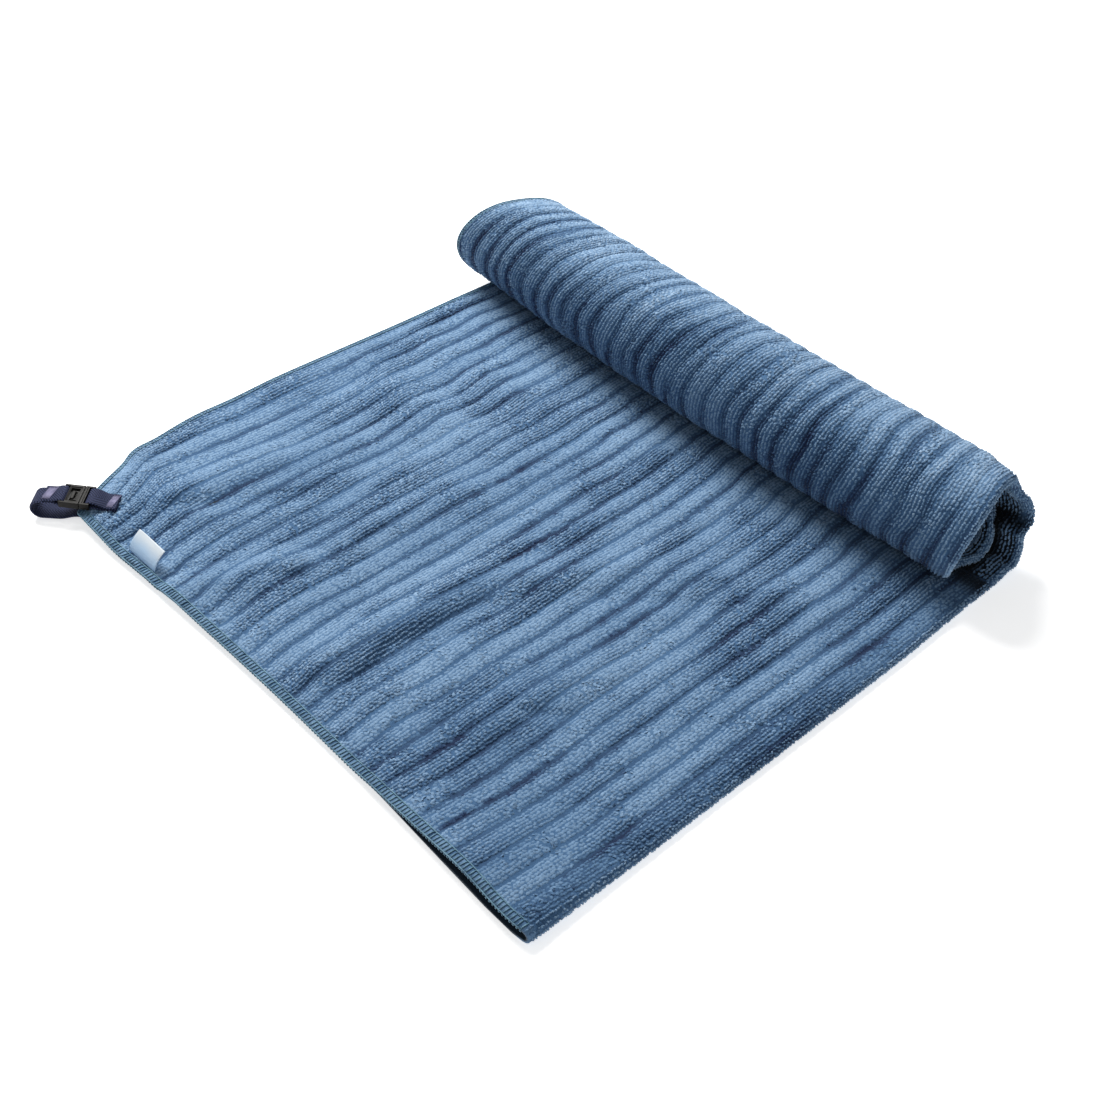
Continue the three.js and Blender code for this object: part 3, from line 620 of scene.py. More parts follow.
def end_shade(turn, share, side):
    """Darkness inside the ends of the roll, deeper than a few rows of loops."""
    from_hem = share * FOLDED_WIDTH
    from_fold = (1 - share) * FOLDED_WIDTH
    reach = np.where(turn < 0.5, END_LIGHT["back"], END_LIGHT["top"])
    reach = np.where(turn < 0.2, END_LIGHT["foot"], reach)
    reach = np.where((turn >= 1) | (side < 0), END_LIGHT["top"], reach)
    lit_fold = 1 - smooth(from_fold, reach, reach + END_LIGHT["fade"])
    lit_hem = 1 - smooth(from_hem, *END_LIGHT["hem"])
    # Painted shadow along the crease under the flap
    crease = END_CREASE_SHADOW["strength"] * np.exp(-(((turn - END_CREASE_SHADOW["turn"]) / END_CREASE_SHADOW["width"]) ** 2))
    least = END_LIGHT["least"]
    return least + (1 - least) * np.maximum(lit_fold, lit_hem) * (1 - crease)


def cloth_look(depth, turn, p):
    """Tone and shade of the points of one section, by how far round it they lie."""
    share = np.where(p < 1, p, np.where(p < 2, 1, np.clip(3 - p, 0, 1)))
    depth, turn = np.full_like(p, depth), np.full_like(p, turn)
    v = length_at(depth, turn)
    hem = 1 - smooth(share * FOLDED_WIDTH, 1.5, 3)
    tone = tone_at(share, v)
    if turn[0] < 0:
        hem = np.maximum(1 - smooth(depth, 3.5, 5.5), hem)
        tone = np.where(p > 2, top_tone(depth, share), tone)
        lower = smooth(across_at(depth, turn, share), *LOWER_EDGE_SHADE["x"])
        lower = lower * (1 - smooth(depth, *LOWER_EDGE_SHADE["depths"]))
        shade = np.where(p < 1, 1 - LOWER_EDGE_SHADE["strength"] * lower, foot_shade(depth, turn))
    else:
        outside = (p < 1) & (turn < 1)
        tone = np.where(outside, roll_tone_with_painted_light(turn, share), tone)
        inside_shade = end_shade(turn, share, np.where(p < 1, -1, 1))
        shade = np.where(outside, foot_shade(depth, turn), inside_shade)
    # The hem lighter, and painted shade on the ground cloth where the nap stands rough, for the shade between
    # its loops
    tone = tone + TONE["hem"] * hem - TONE["rough"] * (1 - nap_at(share, v))
    return tone, np.where(p > 3, BETWEEN_LAYERS_SHADE, shade)


def towel_cloth(material):
    """The cloth itself: one thin sheet, folded once and wound up."""
    flat_depths = np.linspace(0, OPEN_FLAT_DEPTH, int(OPEN_FLAT_DEPTH / FLAT_STEP) + 1)[:-1]
    outer_turns = np.linspace(0, 1, OUTER_STEPS + 1)[:-1]
    inner_turns = np.linspace(1, ROLL_TURNS, int((ROLL_TURNS - 1) * INNER_STEPS) + 1)
    rows = [(depth, -1.0) for depth in flat_depths]
    rows += [(OPEN_FLAT_DEPTH, turn) for turn in np.concatenate([outer_turns, inner_turns])]
    points, looks, loops = [], [], []
    count = 0
    for depth, turn in rows:
        p, section = section_loop(np.float64(depth), np.float64(turn))
        loops.append([(float(a), count + k) for k, a in enumerate(p)])
        looks.append(cloth_look(depth, turn, p))
        points.append(section)
        count += len(p)
    faces = []
    closed = [loop + [(8.0, loop[0][1])] for loop in loops]
    for low, high in zip(closed, closed[1:]):
        stitch(faces, low, high, False)
    cap_end(faces, loops[0], True)
    cap_end(faces, loops[-1], False)
    tone, shade = (np.concatenate(column) for column in zip(*looks))
    return add_mesh("towel_cloth", np.concatenate(points), faces, material, {"tone": tone, "shade": shade})


def unit(vectors):
    """The vectors at length 1."""
    return vectors / np.maximum(np.linalg.norm(vectors, axis=-1, keepdims=True), 1e-9)


def face_frames(surface, along, across, step_along, step_across):
    """Points of a surface with unit directions across it, along it and out of it."""
    here = surface(along, across)
    toward_across = unit(surface(along, across + step_across) - here)
    toward_along = unit(surface(along + step_along, across) - here)
    out = unit(np.cross(toward_across, toward_along))
    return here, toward_across, toward_along, out


# One loop of the pile, as (along, across, up): its two ends, its two sides and two points on its back
BEAD_POINTS = np.array([(-0.5, 0, 0), (0.5, 0, 0), (0, 0.5, 0), (0, -0.5, 0), (-0.2, 0, 0.9), (0.2, 0, 0.9)])
BEAD_FACES = np.array([(0, 4, 2), (4, 5, 2), (5, 1, 2), (0, 3, 4), (4, 3, 5), (5, 3, 1)])


def pile(name, frames, look, material, seed, scale=1.0):
    """Loops of pile as one joined mesh, one bead at each point, roughly along its row."""
    here, across, along, out = frames
    tone, nap, shade = look
    rough = soft_noise(seed, here[:, 0] / 9, (here[:, 1] + here[:, 2]) / 9)
    rng = np.random.default_rng(seed)
    count = len(here)
    tousled = 1 + UNEVEN["tousled"] * smooth(rough, 0.25, 0.7)[:, None]
    lean = rng.normal(0, UNEVEN["lean"], (count, 2)) * tousled
    up = unit(out + lean[:, :1] * across + lean[:, 1:] * along)
    slant = rng.normal(LOOP_SLANT, UNEVEN["slant"], count)[:, None] * tousled
    length = np.cos(slant) * along + np.sin(slant) * across
    length = unit(length - np.sum(length * up, 1)[:, None] * up)
    width = np.cross(up, length)
    size = scale * rng.uniform(1 - UNEVEN["size"], 1 + UNEVEN["size"], (count, 3))
    size = size * (NAP_SIZE["rough"] + (NAP_SIZE["smooth"] - NAP_SIZE["rough"]) * nap[:, None])
    shift = rng.normal(0, UNEVEN["place"], (count, 2)) * tousled
    points = (here + shift[:, :1] * across + 2 * shift[:, 1:] * along - LOOP_SINK * out)[:, None]
    for k, (measure, direction) in enumerate([("length", length), ("width", width), ("height", up)]):
        reach = size[:, k, None] * LOOP_SIZE[measure] * BEAD_POINTS[None, :, k]
        points = points + reach[:, :, None] * direction[:, None]
    faces = BEAD_FACES[None] + (np.arange(count) * len(BEAD_POINTS))[:, None, None]
    contrast = 1 - LOOP_LIGHT_AND_SHADE["calm"] * nap
    tone = tone + rng.normal(0, UNEVEN["tone"], count) * contrast
    # A few loops darkened by painted shade, and painted shade at each loop's foot rising to painted light on
    # its back
    tone = tone - LOOP_LIGHT_AND_SHADE["dark"] * (rng.random(count) < LOOP_LIGHT_AND_SHADE["dark_share"])
    painted_light_up_the_loop = LOOP_LIGHT_AND_SHADE["foot"] + LOOP_LIGHT_AND_SHADE["rise"] * BEAD_POINTS[None, :, 2]
    tones = tone[:, None] + contrast[:, None] * painted_light_up_the_loop
    attributes = {"tone": tones.ravel(), "shade": np.repeat(shade, len(BEAD_POINTS))}
    return add_mesh(name, points.reshape(-1, 3), faces.reshape(-1, 3).tolist(), material, attributes)


def pile_halves(part, shares, frames, look, material):
    """Pile of a part of the towel as two pieces, one for the hem side and one for the fold side."""
    pieces = []
    for k, (side, half) in enumerate([("hem_side", shares < 0.5), ("fold_side", shares >= 0.5)]):
        frames_here, look_here = ([array[half] for array in arrays] for arrays in (frames, look))
        pieces.append(pile(f"pile_{part}_{side}", frames_here, look_here, material, PILE_SEED[part] + k))
    return pieces


def row_shares(span):
    """Places across the cloth of the rows of loops, drawn together in each rib to leave its grooves open."""
    first_rib = -(RIB_SHIFT + FOLDED_WIDTH / 2) / RIB_PITCH
    ribs = np.arange(math.floor(first_rib), math.ceil(first_rib + FOLDED_WIDTH / RIB_PITCH))
    rows = 0.5 + span * ((np.arange(ROWS_PER_RIB) + 0.5) / ROWS_PER_RIB - 0.5)
    places = (ribs[:, None] + rows[None]).ravel() * RIB_PITCH + RIB_SHIFT
    shares = places / FOLDED_WIDTH + 0.5
    return shares[(shares * FOLDED_WIDTH > 2.6) & (shares < 0.9995)]


def grid(places, steps):
    """Every pair of a place across and a step along, with every other row offset half a step."""
    across, along = np.meshgrid(places, steps, indexing="ij")
    half = (steps[1] - steps[0]) / 2
    along = along + half * (np.arange(len(places)) % 2)[:, None]
    return across.ravel(), along.ravel()


def flat_pile(material):
    """Loops over the top of the flat part."""
    shares, depths = grid(row_shares(ROWS_SPAN["flat"]), np.arange(HEM_WIDTH, OPEN_FLAT_DEPTH - 2, LOOP_STEP))
    surface = lambda depth, share: outer_point(depth, -1.0, share, 1)
    frames = face_frames(surface, depths, shares, 0.5, 0.001)
    look = [top_tone(depths, shares), nap_at(shares, depths), foot_shade(depths, -1.0)]
    return pile_halves("flat", shares, frames, look, material)


def roll_pile(material):
    """Loops over the outside of the roll."""
    step = LOOP_STEP / (2 * math.pi * ROLL_RADIUS)
    shares, turns = grid(row_shares(ROWS_SPAN["roll"]), np.arange(0.035, 1.04, step))
    surface = lambda turn, share: outer_point(OPEN_FLAT_DEPTH, turn, share, -1)
    here, across, along, out = face_frames(surface, turns, shares, 0.002, 0.001)
    nap = nap_at(shares, length_at(OPEN_FLAT_DEPTH, turns)) * (0.8 - 0.5 * smooth(turns, 0.45, 0.7))
    look = [roll_tone_with_painted_light(turns, shares), nap, foot_shade(OPEN_FLAT_DEPTH, turns)]
    return pile_halves("roll", shares, [here, across, -along, -out], look, material)


def even_turns(first, last):
    """Turns one loop apart along the wound cloth."""
    turns = [first]
    while turns[-1] < last:
        turns.append(turns[-1] + LOOP_STEP / (2 * math.pi * (ROLL_RADIUS - WOUND_PITCH * turns[-1])))
    return np.array(turns[:-1])


def joined_arrays(groups):
    """Arrays that stand at the same place in each group, one after another."""
    return [np.concatenate(column) for column in zip(*groups)]


def fold_pile(material):
    """Loops round the folded edge, along the flat part and round every turn of the roll."""
    angles = np.radians([72, 36, 0, -36, -72])
    flat_angle, depth = grid(angles, np.arange(1, OPEN_FLAT_DEPTH - 2, LOOP_STEP))
    surface = lambda depth, angle: bend_point(depth, -1.0, angle, 0)
    flat = face_frames(surface, depth, flat_angle, 0.5, -0.01)
    roll_angle, turn = grid(angles, even_turns(0.0, ROLL_TURNS))
    surface = lambda turn, angle: bend_point(OPEN_FLAT_DEPTH, turn, angle, 0)
    roll = face_frames(surface, turn, roll_angle, 0.002, -0.01)
    v = np.concatenate([depth, length_at(OPEN_FLAT_DEPTH, turn)])
    nap = nap_at(np.ones_like(v), v)
    # Painted shade deeper into the roll, and a darker tone on the folded edge as painted shade where it faces
    # away from the light
    shade = np.concatenate([np.ones_like(depth), 1 - 0.6 * smooth(turn, 1.1, 2.4)])
    look = [0.36 + 0.25 * nap, 0.15 * nap, shade]
    return [pile("pile_fold", joined_arrays([flat, roll]), look, material, PILE_SEED["fold"], 0.82)]


def inside_pile(material):
    """Loops that show inside the ends of the roll."""
    row = RIB_PITCH / ROWS_PER_RIB / FOLDED_WIDTH
    frames, looks = [], []
    for side, first, last in ((1, 0.0, 1.0), (-1, 1.0, 2.0), (1, 1.0, 2.0)):
        for places in (1 - row * np.arange(0.35, 12), row * np.arange(1.5, 9)):
            shares, turns = grid(places, even_turns(first, last))
            surface = lambda turn, share: outer_point(OPEN_FLAT_DEPTH, turn, share, side)
            here, across, along, out = face_frames(surface, turns, shares, 0.002, 0.001)
            frames.append([here, across, along * side, out * side])
            v = length_at(OPEN_FLAT_DEPTH, turns)
            # Painted shade: loops inside the roll's ends get a darker, narrower range of tone
            tone = 0.2 + 0.5 * tone_at(shares, v)
            looks.append([tone, 0.2 * nap_at(shares, v), end_shade(turns, shares, side)])
    return [pile("pile_inside", joined_arrays(frames), joined_arrays(looks), material, PILE_SEED["inside"])]


# Thread


def tubes(name, paths, radius, sides, material):
    """Round threads along lines of points, as one joined mesh."""
    angles = np.arange(sides) * 2 * math.pi / sides
    points, faces = [], []
    start = 0
    for path in paths:
        path = np.asarray(path, float)
        tangent = unit(np.gradient(path, axis=0))
        side = unit(np.cross(tangent, OFF_THREAD))
        up = np.cross(side, tangent)
        ring = np.cos(angles)[None, :, None] * side[:, None] + np.sin(angles)[None, :, None] * up[:, None]
        points.append((path[:, None] + radius * ring).reshape(-1, 3))
        end = start + (len(path) - 1) * sides
        for first in range(start, end, sides):
            for k in range(sides):
                a, b = first + k, first + (k + 1) % sides
                faces.append((a, b, b + sides, a + sides))
        faces.append(tuple(range(start + sides - 1, start - 1, -1)))
        faces.append(tuple(range(end, end + sides)))
        start = end + sides
    return add_mesh(name, np.concatenate(points), faces, material)


def even(surface, first, last, pitch):
    """Places between first and last that lie evenly spaced along a line of a surface."""
    fine = np.linspace(first, last, 2000)
    line = surface(fine)
    length = np.concatenate([[0], np.cumsum(np.linalg.norm(np.diff(line, axis=0), axis=1))])
    return np.interp(np.arange(pitch / 2, length[-1], pitch), length, fine)


def overlock_paths(edge, inward, out, reach, seed):
    """Thread of an overlocked hem: a stitch over the edge at each place, and two lines along it."""
    rng = np.random.default_rng(seed)
    along = unit(np.gradient(edge, axis=0))
    profile = [(1.6, -CLOTH - 0.25), (-0.15, -CLOTH - 0.1), (-0.45, -CLOTH / 2), (-0.1, 0.15),
               (reach * 0.5, 0.35), (reach, 0.15)]
    paths = []
    for k in range(len(edge)):
        slant = rng.normal(0.25, 0.18)
        paths.append([
            edge[k] + inward[k] * inside + out[k] * height + along[k] * slant * inside / reach
            for inside, height in profile
        ])
    paths.append(edge - inward * 0.35 + out * 0.1)
    paths.append(edge + inward * reach + out * 0.25)
    return paths


def overlocked(line, ends, step, inset, outward, reach, seed):
    """Thread along a hem, where line(place, inset) gives the cloth's points on the hem and inside it."""
    places = even(line, *ends, THREAD["pitch"])
    edge = line(places)
    inward = unit(line(places, inset) - edge)
    along = unit(line(places + step) - edge)
    return overlock_paths(edge, inward, outward * unit(np.cross(inward, along)), reach, seed)


def hem_threads(material):
    """Overlocking of the short hem, of the long hem and of the rim of the roll."""
    short_reach, long_reach = THREAD["short_reach"], THREAD["long_reach"]
    paths = []
    for side in (1, -1):
        short_hem = lambda share, depth=0.0: outer_point(depth, -1.0, share, side)
        long_hem = lambda depth, share=0.0: outer_point(depth, -1.0, share, side)
        rim = lambda turn, share=0.0: outer_point(OPEN_FLAT_DEPTH, turn, share, side)
        seeds = {name: seed + side for name, seed in THREAD_SEED.items()}
        short_end = 1.0 if side > 0 else 0.6
        paths += overlocked(short_hem, (0.0, short_end), 0.002, 2.0, -side, short_reach, seeds["short_hem"])
        paths += overlocked(long_hem, (1.0, 318.0), 0.5, 0.005, side, long_reach, seeds["long_hem"])
        paths += overlocked(rim, (0.02, 2.4), 0.001, 0.005, side, long_reach, seeds["rim"])
    return tubes("hem_thread", paths, THREAD["radius"], THREAD["sides"], material)


# Webbing, as lines of (along, up) points


def slope(start, end, count=12):
    """Smooth step in height between two places along the webbing."""
    share = np.linspace(0, 1, count)
    return np.stack([
        start[0] + (end[0] - start[0]) * share,
        start[1] + (end[1] - start[1]) * smooth(share, 0, 1),
    ], 1)


def arc(centre, radius, first, last, count):
    """Points round a bar or a bend, between two angles in degrees."""
    angles = np.radians(np.linspace(first, last, count))
    return np.stack([centre[0] + radius * np.cos(angles), centre[1] + radius * np.sin(angles)], 1)


def bar_middle(x):
    """Middle of a bar, from its place along the tilted buckle."""
    return (BUCKLE["x"] + x * math.cos(BUCKLE["tilt"]), BUCKLE["z"] + x * math.sin(BUCKLE["tilt"]))


def loop_line():
    """Hang loop: from between the layers to the surface, round the tip and back to the buckle."""
    bar = bar_middle(FRAME["front"] - BAR / 2)
    floor = WEBBING / 2
    in_layers = CLOTH + LAYER_GAP + WEBBING / 2
    tip_radius = (LOOP["height"] - floor) / 2
    ply = LOOP["height"] + PLY_PITCH
    return np.concatenate([
        [(LOOP["root"], in_layers)],
        slope((LOOP["edge"], in_layers), (LOOP["landing"], floor)),
        arc((LOOP["tip"], floor + tip_radius), tip_radius, -90, 90, 30),
        slope((LOOP["sewn_from"], LOOP["height"]), (bar[0] + BAR, bar[1] - BAR_WRAP)),
        arc(bar, BAR_WRAP, -90, -270, 16),
        slope((bar[0] + BAR, bar[1] + BAR_WRAP), (LOOP["sewn_from"], ply)),
        [(LOOP["end"], ply)],
    ])


def tab_line():
    """Tab: sewn on the towel, up to the buckle's other bar and back over itself."""
    bar = bar_middle(TONGUE["block"] - TONGUE["slot"] - BAR / 2)
    ply = TAB["height"] + PLY_PITCH
    return np.concatenate([
        [(TAB["end"], TAB["height"])],
        slope((TAB["sewn_to"], TAB["height"]), (bar[0] - BAR, bar[1] - BAR_WRAP)),
        arc(bar, BAR_WRAP, -90, 90, 16),
        slope((bar[0] - BAR, bar[1] + BAR_WRAP), (TAB["sewn_to"], ply)),
        [(TAB["end"], ply)],
    ])


def resampled(line, pitch):
    """The line with its points evenly spaced, and its length."""
    length = np.concatenate([[0], np.cumsum(np.linalg.norm(np.diff(line, axis=0), axis=1))])
    places = np.linspace(0, length[-1], int(length[-1] / pitch) + 1)
    return np.stack([np.interp(places, length, column) for column in line.T], 1), length[-1]


def loop_space(points):
    """Points given as (along the webbing, across it, up) in the frame of the model."""
    cos, sin = math.cos(LOOP_HEADING), math.sin(LOOP_HEADING)
    x = LOOP_ANCHOR[0] + points[..., 0] * cos - points[..., 1] * sin
    y = LOOP_ANCHOR[1] + points[..., 0] * sin + points[..., 1] * cos
    return np.stack([x, y, points[..., 2]], -1)


def ribbon(name, line, thickness, width, material, to_space, pitch=0.5):
    """Flat tape with rounded edges along a line of (along, up) points."""
    line, length = resampled(np.asarray(line, float), pitch)
    tangent = unit(np.gradient(line, axis=0))
    normal = np.stack([-tangent[:, 1], tangent[:, 0]], 1)
    columns = np.linspace(-1, 1, 15)
    half = thickness / 2
    flat_half = width / 2 - half
    edge = np.radians([60, 20, -20, -60])
    top = [(w * flat_half, half) for w in columns]
    right = [(flat_half + half * math.cos(a), half * math.sin(a)) for a in edge]
    bottom = [(w * flat_half, -half) for w in columns[::-1]]
    left = [(-flat_half - half * math.cos(a), -half * math.sin(a)) for a in edge]
    section = np.array(top + right + bottom + left)
    count = len(section)
    points = np.stack([
        line[:, None, 0] + normal[:, None, 0] * section[None, :, 1],
        np.broadcast_to(section[None, :, 0], (len(line), count)),
        line[:, None, 1] + normal[:, None, 1] * section[None, :, 1],
    ], -1)
    rows, corners = np.meshgrid(np.arange(len(line) - 1), np.arange(count), indexing="ij")
    a = rows * count + corners
    b = rows * count + (corners + 1) % count
    faces = np.stack([a, a + count, b + count, b], -1).reshape(-1, 4).tolist()
    faces.append(list(range(count)))
    faces.append([(len(line) - 1) * count + k for k in reversed(range(count))])
    weave = np.zeros((len(line), count, 3))
    weave[..., 0] = section[None, :, 0]
    weave[..., 1] = np.linspace(0, length, len(line))[:, None]
    attributes = {"weave": weave.reshape(-1, 3)}
    return add_mesh(name, to_space(points).reshape(-1, 3), faces, material, attributes), length


def bartack(name, first, last, height, material):
    """Zigzag sewing across the webbing, between two places along it."""
    count = 2 * int((last - first) / TACK["pitch"])
    corners = np.arange(count)
    side = np.where(corners % 2 == 0, -1, 1)
    places = np.arange((count - 1) * TACK["steps"]) / TACK["steps"]
    along = np.interp(places, corners, np.linspace(first, last, count) + TACK["slant"] * side)
    across = np.interp(places, corners, (WEBBING_WIDTH / 2 - TACK["inset"]) * side)
    up = np.full_like(places, height + TACK["rise"])
    path = loop_space(np.stack([along, across, up], -1))
    return tubes(name, [path], TACK["radius"], TACK["sides"], material)


# Buckle

ROUNDING = {"shell": 0.32, "bar": 0.3, "catch": 0.35}
SLOT_WIDTH = WEBBING_WIDTH + 2 * CLEARANCE
BAR_WIDTH = SLOT_WIDTH + 0.8
BUCKLE_HALF = BUCKLE["height"] / 2
BUCKLE_SPACE = (
    Matrix.Translation((LOOP_ANCHOR[0] * MM, LOOP_ANCHOR[1] * MM, 0))
    @ Matrix.Rotation(LOOP_HEADING, 4, "Z")
    @ Matrix.Translation((BUCKLE["x"] * MM, 0, BUCKLE["z"] * MM))
    @ Matrix.Rotation(-BUCKLE["tilt"], 4, "Y")
)


def block(name, back, front, width, bottom, top):
    """Plain block between two places along the buckle, in the buckle's own frame."""
    box = bmesh.new()
    bmesh.ops.create_cube(box, size=1)
    size = Matrix.Diagonal(((front - back) * MM, width * MM, (top - bottom) * MM, 1))
    middle = Matrix.Translation(((back + front) / 2 * MM, 0, (bottom + top) / 2 * MM))
    box.transform(middle @ size)
    mesh = bpy.data.meshes.new(name)
    box.to_mesh(mesh)
    box.free()
    return add_object(name, mesh)


def moulding(name, size, rounding, cutters, material):
    """Block with rounded edges, less what the cutters take out, put in the buckle's place."""
    body = block(name, *size)
    for cutter_size in cutters:
        cutter = block("cutter", *cutter_size)
        cut = body.modifiers.new("cut", "BOOLEAN")
        cut.operation, cut.object, cut.solver = "DIFFERENCE", cutter, "EXACT"
        apply_modifiers(body)
        bpy.data.objects.remove(cutter)
    bevel = body.modifiers.new("round", "BEVEL")
    bevel.width, bevel.segments, bevel.limit_method = rounding * MM, 3, "ANGLE"
    apply_modifiers(body)
    body.data.transform(BUCKLE_SPACE)
    body.data.shade_smooth()
    body.data.materials.clear()
    body.data.materials.append(material)
    return body


def apply_modifiers(thing):
    """Puts a modified mesh in place of the plain one."""
    bpy.context.view_layer.update()
    graph = bpy.context.evaluated_depsgraph_get()
    mesh = bpy.data.meshes.new_from_object(thing.evaluated_get(graph))
    thing.modifiers.clear()
    thing.data = mesh


def joined(name, things):
    """One object from several, by joining their meshes."""
    whole = bmesh.new()
    for thing in things:
        whole.from_mesh(thing.data)
    mesh = bpy.data.meshes.new(name)
    whole.to_mesh(mesh)
    whole.free()
    mesh.materials.append(things[0].data.materials[0])
    for thing in things:
        bpy.data.objects.remove(thing)
    return add_object(name, mesh)


def buckle_frame(material):
    """Frame half: rounded, with a window over the tongue and a bar for the webbing."""
    half, front, back = BUCKLE_HALF, FRAME["front"], FRAME["back"]
    slot_back = front - BAR - FRAME["slot"]
    window_front = slot_back - FRAME["wall"]
    window_back, window_width = FRAME["window_back"], FRAME["window_width"]
    channel_half = TONGUE["height"] / 2 + CLEARANCE
    cutters = [
        (slot_back, front + 1, SLOT_WIDTH, -2 * half, 2 * half),
        (window_back, window_front, window_width, -2 * half, 2 * half),
        (back - 1, window_front, TONGUE["width"] + 2 * CLEARANCE, -channel_half, channel_half),
        (window_back - 0.9, window_front + 0.4, window_width + 1.4, half - 0.45, 2 * half),
    ]
    shell_size = (back, front, BUCKLE["width"], -half, half)
    shell = moulding("frame_shell", shell_size, ROUNDING["shell"], cutters, material)
    bar_size = (front - BAR, front, BAR_WIDTH, -BAR / 2, BAR / 2)
    bar = moulding("frame_bar", bar_size, ROUNDING["bar"], [], material)
    return joined("buckle_frame_moulding", [shell, bar])


def buckle_tongue(material):
    """Tongue half: a shoulder and a tongue under the frame's window, with a bar for the tab."""
    half, front, width = BUCKLE_HALF, TONGUE["front"], TONGUE["width"]
    block_front = FRAME["back"] - CLEARANCE
    slot_back = TONGUE["block"] - TONGUE["slot"]
    back = slot_back - BAR
    blade_half = TONGUE["height"] / 2
    cutters = [
        (back - 1, TONGUE["block"], SLOT_WIDTH, -2 * half, 2 * half),
        (block_front - 1.7, block_front - 1.2, BUCKLE["width"] - 2, half - 0.4, 2 * half),
    ]
    shell_size = (back, block_front, BUCKLE["width"], -half, half)
    shell = moulding("tongue_shell", shell_size, ROUNDING["shell"], cutters, material)
    bar_size = (back, slot_back, BAR_WIDTH, -BAR / 2, BAR / 2)
    bar = moulding("tongue_bar", bar_size, ROUNDING["bar"], [], material)
    blade_size = (block_front - 0.6, front, width, -blade_half, blade_half)
    blade = moulding("tongue_blade", blade_size, ROUNDING["bar"], [(0.7, 1.5, width - 2, 0.3, 2)], material)
    catch_size = (1.6, front - 0.2, width - 1.2, blade_half - 0.2, 1.55)
    catch = moulding("tongue_catch", catch_size, ROUNDING["catch"], [], material)
    return joined("buckle_tongue_moulding", [shell, bar, blade, catch])


# Label


def label_flag(material):
    """Small stiff flag, its foot along the short hem, standing at a lean."""
    share = np.linspace(0, 1, 14)
    angle = LABEL_LEAN["foot"] + (LABEL_LEAN["top"] - LABEL_LEAN["foot"]) * share
    run = LABEL["height"] * share
    line = np.stack([run * np.cos(angle), run * np.sin(angle)], 1)

    def to_space(points):
        cos, sin = math.cos(LABEL_FOOT["heading"]), math.sin(LABEL_FOOT["heading"])
        along = points[..., 0] + 0.35 * np.sin(points[..., 1] / LABEL["length"] * 5) * points[..., 2] / 10
        x = LABEL_FOOT["x"] + along * cos - points[..., 1] * sin
        y = LABEL_FOOT["y"] + along * sin + points[..., 1] * cos
        return np.stack([x, y, LABEL_FOOT["z"] + points[..., 2]], -1)

    return ribbon("label_flag", line, LABEL["thickness"], LABEL["length"], material, to_space)


# Materials


class Nodes:
    """Short way of writing a material's nodes."""

    def __init__(self, name):
        self.material = bpy.data.materials.new(name)
        self.material.use_nodes = True
        self.tree = self.material.node_tree
        self.shader = self.tree.nodes["Principled BSDF"]

    def add(self, kind, inputs=None, **settings):
        node = self.tree.nodes.new(kind)
        for key, value in settings.items():
            setattr(node, key, value)
        for key, value in (inputs or {}).items():
            self.feed(node.inputs[key], value)
        return node

    def feed(self, socket, value):
        if isinstance(value, bpy.types.NodeSocket):
            self.tree.links.new(value, socket)
        else:
            socket.default_value = value

    def math(self, operation, a, b=0.0):
        return self.add("ShaderNodeMath", {0: a, 1: b}, operation=operation).outputs[0]

    def plus(self, a, b):
        return self.math("ADD", a, b)

    def times(self, a, b):
        return self.math("MULTIPLY", a, b)

    def wave(self, value, rate, strength):
        return self.times(self.math("SINE", self.times(value, rate)), strength)

    def ramp(self, share, stops):
        """Colour by a share from 0 to 1, from stops of a place and a six-digit colour."""
        node = self.add("ShaderNodeValToRGB", {"Fac": share})
        elements = node.color_ramp.elements
        while len(elements) < len(stops):
            elements.new(0.5)
        for element, (position, colour) in zip(elements, stops):
            element.position = position
            element.color = srgb(colour)
        return node.outputs["Color"]

    def attribute(self, name, output):
        return self.add("ShaderNodeAttribute", attribute_name=name).outputs[output]

    def parts(self, vector):
        outputs = self.add("ShaderNodeSeparateXYZ", {"Vector": vector}).outputs
        return outputs["X"], outputs["Y"]

    def noise(self, scale, detail):
        place = self.add("ShaderNodeTexCoord").outputs["Object"]
        inputs = {"Vector": place, "Scale": scale, "Detail": detail}
        return self.add("ShaderNodeTexNoise", inputs).outputs["Fac"]

    def bump(self, height, strength, distance):
        inputs = {"Height": height, "Strength": strength, "Distance": distance}
        return self.add("ShaderNodeBump", inputs).outputs["Normal"]

    def finish(self, inputs):
        """The material, with the shader's own inputs fed by name."""
        for key, value in inputs.items():
            self.feed(self.shader.inputs[key], value)
        return self.material


def srgb(text):
    """Linear colour from a plain six-digit one."""
    parts = [int(text[k:k + 2], 16) / 255 for k in (0, 2, 4)]
    linear = [c / 12.92 if c <= 0.04045 else ((c + 0.055) / 1.055) ** 2.4 for c in parts]
    return (*linear, 1.0)


def terry(name, stops, bump_strength):
    """Looped microfibre: colour by the tone of each loop, a velvety sheen and fine fibres."""
    nodes = Nodes(name)
    fibres = nodes.times(nodes.math("SUBTRACT", nodes.noise(900, 3), 0.5), 0.3)
    colour = nodes.ramp(nodes.plus(nodes.attribute("tone", "Fac"), fibres), stops)
    # Painted shade: the colour is scaled down by each point's shade
    shade = nodes.attribute("shade", "Fac")
    shaded = nodes.add("ShaderNodeVectorMath", {0: colour, "Scale": shade}, operation="SCALE")
    return nodes.finish({
        "Base Color": shaded.outputs["Vector"],
        "Roughness": 0.9,
        "Specular IOR Level": 0.15,
        "Sheen Weight": 0.2,
        "Sheen Roughness": 0.45,
        "Sheen Tint": (0.75, 0.87, 1.0, 1.0),
        "Normal": nodes.bump(nodes.noise(1500, 2), bump_strength, 0.0006),
    })


